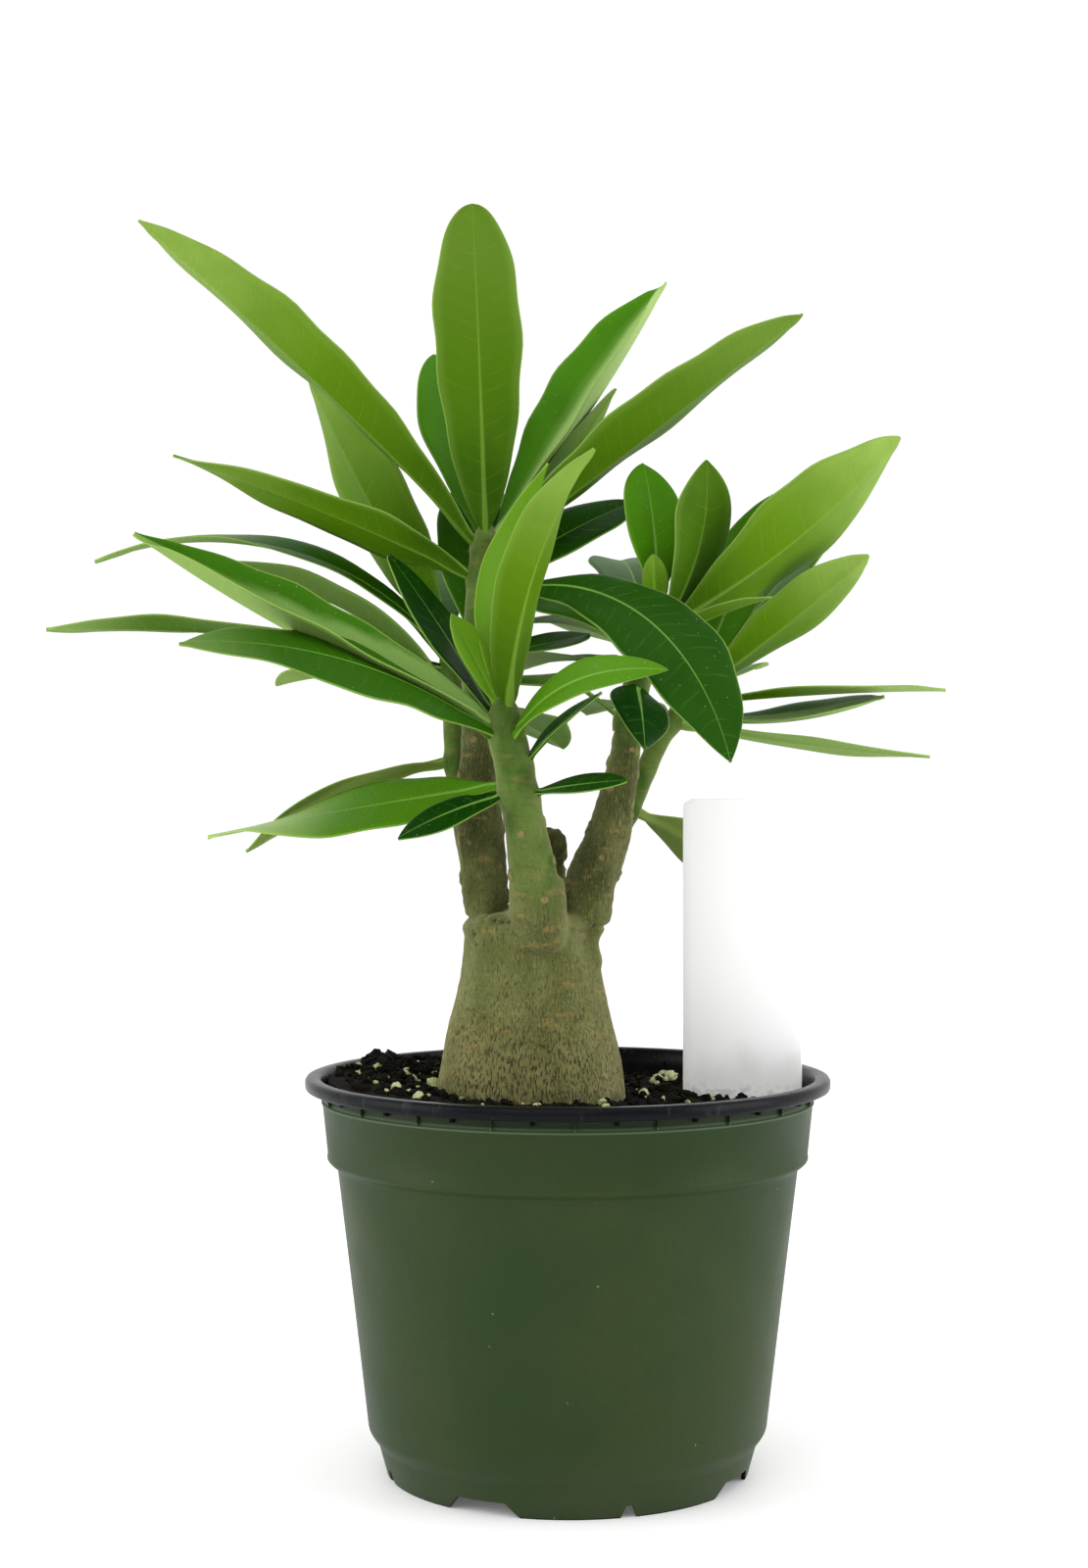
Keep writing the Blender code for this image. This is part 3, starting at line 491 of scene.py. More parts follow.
# %% The leaves
# In the plan, lengths are in millimetres and angles in degrees. below is the distance of
# a leaf's foot below its stem's tip. The azimuth is its side of the stem, 0 to the right,
# 90 away and 180 to the left. It leaves the stem at the angle rise above level, and that
# angle changes by droop, and the azimuth by sweep, towards the tip. The blade is rolled
# about its midrib by roll, and by twist more at the tip, and its two halves stand up by
# the angle fold. It is widest at peak. A high wedge gives it a slender foot, and a high
# tip a pointed end.
Leaf = namedtuple(
    "Leaf",
    "stem name below length width azimuth rise droop roll fold peak wedge tip sweep twist",
    defaults=(0.64, 1.5, 0.75, 0, 0),
)
LEAF_PLAN = {
    "tall": (
        ("t_crown", 4, 102.4, 27.6, -97, 78, -7, 12, 10, 0.64, 0.7, 0.5),
        ("t_upper_left", 8, 146.3, 29.5, 185, 47, -9, 24, 32, 0.59, 1, 0.9, 14),
        ("t_mid_left", 18, 102.1, 27.6, 190, 25, -8, 20, 1, 0.35, 1.2, 1.2),
        ("t_upper_right", 6, 112.8, 36, 32, 46, 13, 8, 46, 0.58, 1.3, 0.9),
        ("t_right", 12, 125.1, 30.8, -8, 37, 0, -21, 26, 0.51, 1.1, 0.7),
        ("t_small_right", 16, 80.2, 22, 33, 49, 4, -45, 0, 0.57, 1.3, 0.8),
        ("t_back_left", 6, 68, 27, 128, 64, 6, 0, 10, 0.6, 1.2, 0.7),
        ("t_back", 40, 66, 24, 95, 71, -20, 0, 10, 0.6, 1.2, 0.8),
        ("t_big_front", 26, 128, 28.7, -39, 17, -87, 29, 0, 0.66, 1.3, 0.9, -13),
        ("t_back_right", 22, 61, 24, 22, 38, -17, 30, 8, 0.6, 1.2, 0.8),
        ("t_low_right", 50, 60, 18, 35, -6, 15, -15, 10, 0.6),
        ("t_low_right_dark", 44, 38, 16, 20, 12, 0, 20, 10, 0.6),
        ("t_back_long", 22, 110, 26, 80, 42, -40, 0, 12),
        ("t_back_low", 36, 100, 26, 60, 15, -30, 0, 10),
    ),
    "left": (
        ("l_upper", 4, 98, 36, 177, 60, 3, 49, 13, 0.54, 1.2, 0.9, -18),
        ("l_arched", 10, 125, 20, 190, 52, -75, -30, 12, 0.5, 1.2, 1, 0, 45),
        ("l_level", 14, 130, 24, 183, 14, -17, -8, 14, 0.45, 1.2, 1, 0, 40),
        ("l_behind_long", 19, 98, 22, 172, 46, -44, 10, 30, 0.45, 1.2, 1),
        ("l_low_back", 24, 58, 20, 150, 30, -40, 0, 12, 0.6),
        ("l_lowest", 44, 73, 20, 179, -14, -20, 20, 12, 0.55, 1.2, 0.9),
        ("l_back", 8, 105, 26, 100, 38, -32, 0, 12),
        ("l_back_left", 20, 100, 24, 130, 12, -20, 0, 12),
        ("l_back_right", 28, 85, 24, 65, 5, -25, 0, 12),
    ),
    "front": (
        ("f_tall", 4, 83.7, 21.2, -60, 81, -28, -16, 41, 0.55, 0.6, 0.9, 41),
        ("f_bright", 6, 85.2, 13.3, 143, 77, -18, 16, 16, 0.42, 1.2, 0.9, -162, 147),
        ("f_young", 4, 32.3, 11.8, 174, 63, 0, -47, 22, 0.64, 1.2, 0.9),
        ("f_dark_left", 10, 68, 26, 150, 57, -8, 0, 6, 0.55, 1.2, 0.8),
        ("f_long_left", 9, 123.6, 30.1, 192, 19, 16, -30, 50, 0.53, 0.9, 1),
        ("f_arched_left", 14, 109.3, 36, 209, 34, -39, -34, 0, 0.49, 1.2, 1, 0, 10),
        ("f_light_right", 14, 65.8, 11.8, -61, 43, -50, 60, 11, 0.47, 0.5, 0.8, 39, 30),
        ("f_narrow_right", 22, 34, 10, -20, 48, -15, 30, 15, 0.5, 1.1, 1),
        ("f_low_left", 28, 102.9, 31.7, 162, -8, -3, -41, 2, 0.53, 1.4, 1.1, 0, 46),
        ("f_low_dark", 31, 37.5, 13.8, 191, -12, -19, -32, 1, 0.56, 1.1, 0.9),
        ("f_low_right", 31, 35, 12, -30, 10, -7, 30, 10, 0.55),
    ),
    "right": (
        ("r_back_up", 4, 53, 19, 110, 95, -35, 0, 8, 0.7),
        ("r_up", 5, 53.9, 25.4, -9, 56, 38, -27, 0, 0.62, 1.2, 0.9, -16),
        ("r_big", 6, 97.4, 35.6, -3, 28, 21, -46, 18, 0.57, 1.5, 0.8, 13),
        ("r_small_dark", 6, 36, 12, 150, 60, -75, -30, 10, 0.6),
        ("r_young", 4, 21, 9, -110, 80, 0, 0, 20, 0.6),
        ("r_thin", 12, 43, 12, -30, 27, -17, 0, 20, 0.6),
        ("r_left_dark", 16, 60, 22, 140, 52, -62, -30, 8, 0.6),
        ("r_hanging", 26, 34.5, 19.9, -87, -16, -41, -23, 0, 0.46, 1, 1),
        ("r_low_left", 36, 28, 10, 140, 30, 0, 20, 10, 0.6),
        ("r_back", 12, 95, 26, 95, 42, -42, 0, 12),
        ("r_back_left", 20, 85, 24, 118, 12, -20, 0, 12),
    ),
    "far_right": (
        ("k_up", 3, 95, 22, 45, 43, -10, 0, 10, 0.6),
        ("k_behind_big", 4, 71, 24, 15, 66, 2, 40, 15, 0.55),
        ("k_right", 5, 73, 25.4, -18, 35, 4, -29, 13, 0.67, 1.3, 0.8),
        ("k_level", 8, 83, 18, -10, 6, -7, 0, 14, 0.5),
        ("k_low_dark", 12, 66.2, 24.8, -6, -13, 35, 13, 15, 0.72, 1.6, 0.9),
        ("k_lowest", 16, 82, 14.9, -11, -11, 6, -16, 1, 0.5, 1.1, 0.9),
        ("k_under", 49, 56, 20, 20, -28, -3, -45, 15, 0.6),
        ("k_back", 9, 90, 24, 70, 20, -20, 0, 12),
        ("k_back_left", 14, 80, 22, 110, 12, -20, 0, 12),
    ),
}


def planned_leaf(stem, name, below, length, width, *rest):
    return Leaf(stem, name, below / 1000.0, length / 1000.0, width / 1000.0, *rest)


LEAVES = {stem: [planned_leaf(stem, *row) for row in rows] for stem, rows in LEAF_PLAN.items()}
print({stem: len(leaves) for stem, leaves in LEAVES.items()}, "leaves")

# %% Middle lines


def catmull_rom(points, per_span):
    """Points on a smooth curve through the given ones, per_span of them to each span."""
    rows = [Vector(p) for p in points]
    rows = [rows[0] * 2 - rows[1], *rows, rows[-1] * 2 - rows[-2]]
    made = []
    for before, start, end, after in zip(rows, rows[1:], rows[2:], rows[3:]):
        for step in range(per_span):
            t = step / per_span
            made.append(
                0.5 * (2 * start + (end - before) * t
                       + (2 * before - 5 * start + 4 * end - after) * t ** 2
                       + (3 * start - before - 3 * end + after) * t ** 3)
            )
    return [*made, rows[-2]]


def middle_line(points, per_span=8):
    """Finely spaced (distance, point, radius) along the middle of a stem."""
    line, distance = [], 0.0
    for row in catmull_rom(points, per_span):
        point = Vector(row[:3])
        if line:
            distance += (point - line[-1][1]).length
        line.append((distance, point, row[3]))
    return line


def stem_at(line, distance):
    """The point and the radius at a distance along a stem's middle line."""
    for (near, a, ra), (far, b, rb) in zip(line, line[1:]):
        if far >= distance:
            share = (distance - near) / (far - near)
            return a.lerp(b, share), ra + (rb - ra) * share
    return line[-1][1], line[-1][2]


STEM_LINES = {name: middle_line(points) for name, points in STEM_POINTS.items()}
print("the tall shoot is", round(STEM_LINES["tall"][-1][0], 4), "m long")

# %% The run of a leaf
STALK_HALF_WIDTH = 0.0017
TIP_HALF_WIDTH = 0.0003
MIDRIB_STEPS = 40
# A leaf starts inside its stem, at this share of the stem's radius
FOOT_SHARE = 0.45


def blade_frame(leaf, v):
    """Directions at a share v of a leaf: along its midrib, across it and out of its upper face."""
    azimuth = radians(leaf.azimuth + leaf.sweep * v)
    rise = radians(leaf.rise + leaf.droop * v)
    roll = radians(leaf.roll + leaf.twist * v * v)
    along = Vector((cos(rise) * cos(azimuth), cos(rise) * sin(azimuth), sin(rise)))
    level = Vector((-sin(azimuth), cos(azimuth), 0.0))
    upper = along.cross(level)
    across = level * cos(roll) + upper * sin(roll)
    return along, across, upper * cos(roll) - level * sin(roll)


def midrib(leaf):
    """Points down the middle of a leaf, from its foot inside the stem to its tip."""
    line = STEM_LINES[leaf.stem]
    foot, radius = stem_at(line, line[-1][0] - leaf.below)
    azimuth = radians(leaf.azimuth)
    points = [foot + Vector((cos(azimuth), sin(azimuth), 0.0)) * radius * FOOT_SHARE]
    for step in range(MIDRIB_STEPS):
        along = blade_frame(leaf, (step + 0.5) / MIDRIB_STEPS)[0]
        points.append(points[-1] + along * leaf.length / MIDRIB_STEPS)
    return points


def half_width(leaf, v):
    """Half the blade's width: a stalk, a long wedge, its widest at peak, and a tip."""
    if v < leaf.peak:
        shape = (1.0 - (1.0 - v / leaf.peak) ** 2) ** leaf.wedge
    else:
        shape = (1.0 - ((v - leaf.peak) / (1.0 - leaf.peak)) ** 2) ** leaf.tip
    least = TIP_HALF_WIDTH + (STALK_HALF_WIDTH - TIP_HALF_WIDTH) * (1.0 - v)
    return max(leaf.width / 2 * shape, least)


# %% [markdown]
# ## Leaf skin
#
# A desert rose leaf is leathery. Its upper face is dark, glossy green with a pale
# midrib and fine side veins, and its underside is a duller yellow-green. A photo could
# be wrapped round each leaf, but here each point of a blade carries a few numbers, such
# as how far it lies from the midrib, and the material draws the veins from them.

# %% Leaf finish


def leaf_skin():
    finish = Finish("leaf_skin", Specular_IOR_Level=0.06)
    along, across = finish.attribute("along"), abs(finish.attribute("across"))
    # tone is a leaf's lightness: at random, or listed per leaf with painted shade and light in it
    tone = finish.attribute("tone")
    upper = finish.rise(finish.attribute("upper"), 0.35, 0.65)
    rib = finish.rise(finish.attribute("rib"), 0.25, 0.75)
    between = abs((finish.attribute("vein") + finish.cloud(120.0) * 0.7).part() - 0.5)
    faint = finish.patches(0.35, 0.65, 140.0)
    vein = finish.rise(between, 0.11, 0.01) * finish.rise(across, 0.95, 0.6) * faint
    blotch = finish.patches(0.35, 0.65, 75.0, 4.0)
    top = finish.coats(
        finish.mix(tone, (0.002, 0.033, 0.0003), (0.06, 0.205, 0.003)),
        (blotch * 0.2, (0.02, 0.09, 0.002)),
        (vein * 0.2, (0.075, 0.215, 0.012)),
        (rib * 0.8, (0.19, 0.38, 0.07)),
    )
    # Painted shade and light on the underside: dark at the foot, lighter along the blade, and lit at the tip
    # where light shines through it
    lit_tip = finish.mix(tone, (0.11, 0.21, 0.006), (0.24, 0.37, 0.065))
    below = finish.coats(
        finish.mix(finish.rise(along, 0.0, 0.55), (0.034, 0.096, 0.0004), (0.092, 0.2, 0.0015)),
        (finish.rise(along, 0.45, 1.0), lit_tip),
        ((1.0 - tone) * 0.7, (0.022, 0.08, 0.0005)),
        (blotch * 0.25, (0.07, 0.165, 0.003)),
        (vein * 0.1, (0.19, 0.32, 0.03)),
        (rib * 0.45, (0.22, 0.36, 0.045)),
        # Painted light: the underside is lighter near its thin edges, where light shines through
        (finish.rise(across, 0.7, 1.0) * 0.18, (0.26, 0.4, 0.08)),
    )
    specks = finish.dots(420.0, 0.075)
    colour = finish.coats(
        finish.mix(upper, below, top),
        (finish.attribute("young") * 0.85, (0.13, 0.29, 0.01)),
        (finish.attribute("old") * 0.9, (0.19, 0.255, 0.06)),
        # Painted sheen: a lighter colour on parts of some leaves, where light glances off them
        (finish.attribute("pale_and_sheen"), (0.34, 0.5, 0.15)),
        (finish.rise(across, 0.955, 0.99) * 0.55, (0.27, 0.43, 0.085)),
        (specks * upper * 0.6, (0.6, 0.66, 0.52)),
    )
    rough = 0.5 - upper * 0.15 + finish.cloud(90.0, 3.0) * 0.12 + specks * 0.2
    relief = finish.cloud(650.0, 3.0) * 0.35 - vein * 0.4
    return finish.feed(Base_Color=colour, Roughness=rough, Normal=finish.bump(relief, 0.00018))


leaf_green = leaf_skin()
print("leaf finish:", leaf_green.name)

# %% [markdown]
# ## Bark and green skin
#
# The trunk's bark is thin and olive-grey, so some green shows through. It stretches as
# the trunk swells and splits into short upright dashes. Young wood is smooth and green,
# with ochre scars where leaves fell. One finish covers both, and each point says how
# green, how old and how scarred it is, so there is no line where one turns to the other.

# %% Bark finish
# Stretches that turn round noise into upright dashes and level wrinkles
UPRIGHT = (1.0, 1.0, 0.2)
LEVEL = (0.25, 0.25, 1.0)


def bark_skin():
    sheen = {"Sheen_Weight": 0.45, "Sheen_Tint": (0.9, 0.85, 0.5, 1.0)}
    finish = Finish("bark_skin", Specular_IOR_Level=0.04, **sheen)
    green, old = finish.attribute("green"), finish.attribute("old")
    scar = finish.rise(finish.attribute("scar"), 0.3, 0.8)
    low = finish.above(0.165, 0.118)
    mottle = finish.patches(0.34, 0.66, 95.0, 4.0, (1.0, 1.0, 0.6))
    clouded = finish.patches(0.45, 0.68, 38.0, 3.0)
    ochre = finish.patches(0.59, 0.68, 210.0, 4.0, (0.5, 0.5, 1.5))
    # Pale upright streaks: partly the bark's own pale fissures, and partly painted highlights on its fine
    # ridges
    pale_and_sheen = finish.rise(finish.cloud(2100.0, 2.0, UPRIGHT) + low * 0.03, 0.54, 0.66)
    wrinkles = finish.cloud(900.0, 2.0, LEVEL)
    fibres = finish.cloud(2000.0, 2.0, UPRIGHT) + low * 0.06 + old * 0.02 - green * 0.1
    dash = finish.rise(fibres, 0.575, 0.64)
    dust = finish.above(0.124, 0.116) * finish.patches(0.42, 0.58, 300.0, 4.0)
    colour = finish.coats(
        finish.mix(mottle, (0.074, 0.087, 0.02), (0.128, 0.137, 0.04)),
        (low, finish.mix(mottle, (0.118, 0.117, 0.036), (0.204, 0.19, 0.072))),
        (clouded * 0.4, (0.11, 0.135, 0.045)),
        (old, finish.mix(mottle, (0.04, 0.051, 0.011), (0.098, 0.108, 0.032))),
        (green, finish.mix(mottle, (0.024, 0.072, 0.003), (0.088, 0.148, 0.026))),
        (ochre * (0.5 - green * 0.28), (0.25, 0.165, 0.05)),
        (pale_and_sheen * (0.32 - green * 0.24), (0.26, 0.25, 0.105)),
        (finish.rise(wrinkles, 0.56, 0.66) * 0.3, (0.055, 0.055, 0.02)),
        (dash * (0.55 + low * 0.35), (0.032, 0.027, 0.01)),
        (scar * 0.7, (0.3, 0.205, 0.1)),
        (finish.attribute("pit"), (0.022, 0.016, 0.009)),
        (dust * 0.85, (0.022, 0.016, 0.012)),
    )
    rough = 0.78 - green * 0.25 + finish.cloud(200.0, 3.0) * 0.12
    relief = finish.cloud(420.0, 5.0, (1.0, 1.0, 0.5)) * (0.5 + old * 0.5) - dash * 0.8 - wrinkles * 0.4
    return finish.feed(Base_Color=colour, Roughness=rough, Normal=finish.bump(relief, 0.0004))


bark = bark_skin()
print("bark finish:", bark.name)

# %% [markdown]
# ## A leaf blade
#
# Each leaf starts as a flat grid that is given a thickness, and is then bent along its
# midrib. Sculpting 54 leaves by hand would take days, and copies of one leaf would all
# look alike. Here every leaf gets its own waves, a groove above its midrib, a raised
# rib below and a rounded stalk.

# %% The looks of single leaves
YOUNG_LEAVES = {"f_young": 0.9, "f_bright": 1.0, "r_young": 0.4, "f_low_left": 0.3, "f_light_right": 0.3}
OLD_LEAVES = {"l_lowest": 0.6, "k_under": 0.9, "r_small_dark": 0.2}
# The part of a leaf with a painted sheen, a lighter colour: how light, its ends across the blade, where along
# it starts, and how much it widens towards the foot
SHEEN_PARTS = {
    "t_upper_right": (1.0, -2.0, 0.34, -1.0, 0.0),
    "f_long_left": (0.42, -0.4, 2.0, -1.0, 1.0),
    "f_low_left": (0.95, -2.0, 2.0, 0.5, 0.0),
    "f_arched_left": (0.3, -2.0, 2.0, 0.7, 0.0),
    "l_arched": (0.5, -2.0, 2.0, 0.5, 0.0),
    "l_level": (0.6, -2.0, 2.0, 0.7, 0.0),
    "l_behind_long": (0.25, -2.0, 2.0, -1.0, 0.0),
    "k_low_dark": (0.55, -2.0, 0.45, -1.0, 0.0),
    "k_level": (0.6, -2.0, 2.0, 0.3, 0.0),
    "k_lowest": (0.45, -2.0, 2.0, -1.0, 0.0),
}
NO_SHEEN_PART = (0.0, -2.0, 2.0, -1.0, 0.0)
# How light each leaf is, where the plant shows it clearly: partly the leaf's own green, and partly painted
# shade on leaves that lie in shadow and painted light on leaves in the light
LEAF_TONES_AND_SHADE = {
    "t_crown": 0.35, "t_upper_left": 0.9, "t_mid_left": 0.7, "t_right": 0.55, "t_small_right": 0.6,
    "t_upper_right": 1.0, "t_back_left": 1.0, "t_big_front": 0.15, "t_back_right": 0.1,
    "l_upper": 0.65, "l_level": 0.0, "f_tall": 0.9, "f_bright": 1.0, "f_light_right": 0.75,
    "f_long_left": 0.6, "f_low_left": 0.8, "f_arched_left": 0.35, "f_low_dark": 0.0,
    "f_low_right": 0.1, "f_dark_left": 0.0, "r_back_up": 1.0, "r_up": 0.0, "r_big": 1.0,
    "k_right": 0.9, "r_hanging": 0.0, "k_low_dark": 0.4,
}


def sheen_share(leaf, u, v):
    """How much painted sheen, a lighter colour, a point of a leaf has."""
    pale_and_sheen, left, right, start, fan = SHEEN_PARTS.get(leaf.name, NO_SHEEN_PART)
    wider = fan * (1.0 - v) ** 2
    part = ramp(u + wider, left - 0.06, left + 0.06) * ramp(wider - u, -right - 0.06, 0.06 - right)
    return pale_and_sheen * part * ramp(v, start, start + 0.35)


# %% The thickness of a leaf
BLADE_THICKNESS = 0.00036
STALK_THICKNESS = 0.0011
STALK_ENDS = (0.05, 0.11)
GROOVE_DEPTH, GROOVE_REACH = 0.0003, 0.0012
RIB_HEIGHT, RIB_REACH = 0.0011, 0.0019


def stand_off(leaf, u, v, side):
    """How far a point of the skin stands off the middle of the blade."""
    away = abs(u) * half_width(leaf, v)
    blade = BLADE_THICKNESS * (1.0 - 0.45 * abs(u))
    round_stalk = 0.0002 + STALK_THICKNESS * sqrt(max(1.0 - u * u, 0.0))
    thick = blade + (round_stalk - blade) * bell(max(v - STALK_ENDS[0], 0.0), STALK_ENDS[1])
    if side > 0:
        return thick - GROOVE_DEPTH * bell(away, GROOVE_REACH) * (1.0 - v)
    return -thick - RIB_HEIGHT * (1.0 - 0.8 * v) * bell(away, RIB_REACH)


# %% The place of a point of a leaf
# A blade narrower than this to each side lies flatter
FLAT_HALF_WIDTH = 0.0045
WAVE_LENGTH = 0.042
# The height of the margin's waves as a share of a leaf's width, and how much its width varies
WAVE_HEIGHT, WAVY_WIDTH = 0.018, 0.03


def leaf_place(leaf, points, u, v, side, phase):
    """A point of a leaf's skin: u from -1 to 1 across it, v from 0 to 1 along it."""
    place = v * MIDRIB_STEPS
    index = min(int(place), MIDRIB_STEPS - 1)
    middle = points[index].lerp(points[index + 1], place - index)
    _, across, upper = blade_frame(leaf, v)
    half = half_width(leaf, v)
    fold = radians(leaf.fold) * min(half / FLAT_HALF_WIDTH, 1.0)
    lift = sqrt(u * u + 0.01) - 0.1
    turn = v * leaf.length / WAVE_LENGTH * tau + phase + (1.9 if u > 0 else 0.0)
    grown = ramp(v, 0.1, 0.35)
    wave = sin(turn) * ramp(abs(u), 0.25, 1.0) * grown * leaf.width * WAVE_HEIGHT
    half *= 1.0 + WAVY_WIDTH * grown * sin(turn * 1.7 + phase)
    curl = -0.05 * half * abs(u) ** 3
    facing = upper * cos(fold) - across * sin(fold) * max(min(u * 4.0, 1.0), -1.0)
    spread = across * u * cos(fold) + upper * lift * sin(fold)
    return middle + spread * half + facing * (stand_off(leaf, u, v, side) + wave + curl)


# %% Add a leaf to a mesh
# The numbers that points carry to the materials
LAYERS = ("across", "along", "vein", "rib", "upper", "tone", "young", "pale_and_sheen", "green", "old", "scar", "pit")
BLADE_COLUMNS, BLADE_ROWS = 16, 52
# How much the columns crowd to the midrib, and the rows to the foot and the tip
COLUMN_CROWDING, ROW_CROWDING = 1.45, 0.13
VEIN_SPACING = 0.0054


def make_layers(bm):
    return {name: bm.verts.layers.float.new(name) for name in LAYERS}


def thin_sheet(bm, columns, rows):
    """A square grid with a thickness: its points, and the height between its two skins."""
    start = len(bm.verts)
    grid = bmesh.ops.create_grid(bm, x_segments=columns, y_segments=rows, size=1.0)["verts"]
    faces = dict.fromkeys(face for vert in grid for face in vert.link_faces)
    bmesh.ops.solidify(bm, geom=list(faces), thickness=0.1)
    sheet = list(bm.verts)[start:]
    heights = [vert.co.z for vert in sheet]
    return sheet, (min(heights) + max(heights)) / 2


def add_leaf(bm, layers, leaf, draw):
    blade, halfway = thin_sheet(bm, BLADE_COLUMNS, BLADE_ROWS)
    points = midrib(leaf)
    tone, phase = draw.random(), draw.uniform(0.0, tau)
    for vert in blade:
        u = copysign(abs(round(vert.co.x, 4)) ** COLUMN_CROWDING, vert.co.x)
        share = (vert.co.y + 1.0) / 2
        v = share - ROW_CROWDING * sin(tau * share)
        side = 1 if vert.co.z > halfway else -1
        away = abs(u) * half_width(leaf, v)
        vert.co = leaf_place(leaf, points, u, v, side, phase)
        numbers = {
            "across": u,
            "along": v,
            "vein": (v * leaf.length - away * 0.22 - away * abs(u) * 0.3) / VEIN_SPACING,
            "rib": bell(away, 0.0004 + 0.0011 * (1.0 - v)) * (1.0 - 0.5 * v),
            "upper": 1.0 if side > 0 else 0.0,
            "tone": LEAF_TONES_AND_SHADE.get(leaf.name, tone),
            "young": YOUNG_LEAVES.get(leaf.name, 0.0),
            "old": OLD_LEAVES.get(leaf.name, 0.0),
            "pale_and_sheen": sheen_share(leaf, u, v),
        }
        for name, number in numbers.items():
            vert[layers[name]] = number


# %% [markdown]
# ## The green stems
#
# A shoot swells a little under each leaf. A grid is wrapped round the stem's middle
# line, and its points are pushed out round the foot of every leaf. The seam and the
# two ends are then merged, so that the stem is closed.

# %% Wrap a grid round a middle line


def no_swell(distance, point, outward):
    return 0.0


def add_tube(bm, rows, around, swell=no_swell, seam=(1.0, 0.0, 0.0)):
    """A closed tube along rows of (distance, point, radius), with its seam on one side."""
    rows = [rows[0], *rows, rows[-1]]
    last = len(rows) - 1
    tube = bmesh.ops.create_grid(bm, x_segments=around, y_segments=last, size=1.0)["verts"]
    for vert in tube:
        row = round((vert.co.y + 1.0) / 2 * last)
        angle = pi * vert.co.x
        distance, point, radius = rows[row]
        along = (rows[min(row + 1, last)][1] - rows[max(row - 1, 0)][1]).normalized()
        side = (Vector(seam) - along * along.dot(Vector(seam))).normalized()
        outward = side * cos(angle) + along.cross(side) * sin(angle)
        reach = radius + swell(distance, point, outward) if 0 < row < last else 0.0
        vert.co = point + outward * reach
    bmesh.ops.remove_doubles(bm, verts=tube, dist=0.000004)


def tube_rows(line, start, end, step):
    count = max(int((end - start) / step), 2)
    distances = [start + (end - start) * number / count for number in range(count + 1)]
    return [(distance, *stem_at(line, distance)) for distance in distances]


# %% Make the leafy stems
# How far a stem runs down into its bark, and how far it swells round a leaf's foot
STEM_OVERLAP = 0.0012
FOOT_SWELL = 0.0007
STEM_SIDES, STEM_STEP = 28, 0.0009


def leafy_stem(name, seed):
    draw = random.Random(seed)
    bm = bmesh.new()
    layers = make_layers(bm)
    for leaf in LEAVES[name]:
        add_leaf(bm, layers, leaf, draw)
    blades = set(bm.faces)
    line = STEM_LINES[name]
    length = line[-1][0]
    feet = []
    for leaf in LEAVES[name]:
        turn = radians(leaf.azimuth)
        feet.append((length - leaf.below, Vector((cos(turn), sin(turn), 0.0))))

    def swell(distance, point, outward):
        rise = 0.00025 * uneven(point + outward * 0.004, 0.006)
        for foot, side in feet:
            near = bell(abs(distance - foot + 0.001), 0.005)
            rise += FOOT_SWELL * near * max(outward.dot(side), 0.0) ** 2
        return rise

    rows = tube_rows(line, BARK_ENDS[name] - STEM_OVERLAP, length, STEM_STEP)
    add_tube(bm, rows, STEM_SIDES, swell)
    bmesh.ops.recalc_face_normals(bm, faces=bm.faces)
    for face in bm.faces:
        if face not in blades:
            face.material_index = 1
            for vert in face.verts:
                vert[layers["green"]] = 1.0
    return make_piece(bm, "shoot_" + name, [leaf_green, bark])


for number, name in enumerate(STEM_POINTS):
    place(leafy_stem(name, 30 + number), "leaf", "leafy_stem_" + name)

# %% [markdown]
# ## The swollen trunk
#
# The trunk, its roots, the barky branches and a dead stub are one grown body. Rounded
# forms are laid through each other, and a voxel remesh melts them into one skin with
# soft joins. That skin is then moved in and out along its normals: broad swellings,
# fine ridges, leaf scars in a spiral up the branches, and a few dark pits.

# %% The trunk's outline and its roots
# Swollen trunk: its place in the pot, and radius and height down its outline
CAUDEX_PLACE = (-0.0112, 0.0)
CAUDEX_OUTLINE = in_metres(
    (0, 175.5), (10, 176), (16.8, 175), (20.2, 171.5), (20.6, 165), (21.4, 157), (23.2, 148),
    (25.6, 138), (27.6, 129), (29.1, 120), (30.2, 112), (30.5, 103), (28.8, 93), (24.5, 82),
    (18, 71), (10, 62), (0, 58),
)
# Lobes round it: how many, how deep, and the direction of the first
CAUDEX_LOBES = ((2, 0.03, 20.0), (3, 0.022, 75.0), (5, 0.012, 10.0))
# Side roots: direction, height they leave the trunk, reach, drop and thickness
ROOTS = (
    (15.0, 0.09, 0.054, 0.033, 0.0042),
    (100.0, 0.086, 0.05, 0.042, 0.0036),
    (190.0, 0.092, 0.046, 0.03, 0.004),
    (275.0, 0.085, 0.052, 0.045, 0.0034),
)
ROOT_START = 0.01
ROOT_TIP_RADIUS = 0.0012


def root_rows(direction, height, reach, drop, thickness):
    rows = []
    for step in range(25):
        share = step / 24
        distance = ROOT_START + (reach - ROOT_START) * share
        turn = radians(direction) + 0.25 * share
        point = Vector((
            CAUDEX_PLACE[0] + cos(turn) * distance,
            CAUDEX_PLACE[1] + sin(turn) * distance,
            height - drop * share ** 1.4,
        ))
        rows.append((distance, point, thickness + (ROOT_TIP_RADIUS - thickness) * share))
    return rows


# %% The rounded forms of the trunk
CAUDEX_SIDES, ROOT_SIDES, STUB_SIDES = 64, 16, 20
BRANCH_SIDES, BRANCH_STEP = 24, 0.0015
# The front branch runs on down the trunk as a low ridge
FRONT_RIDGE = in_metres(
    (-9.8, -13.8, 185, 8.6), (-8.5, -16.4, 176, 8.3), (-6.8, -16.8, 168, 7), (-5.8, -16, 164, 4.4),
    (-5, -16, 161.2, 2),
)


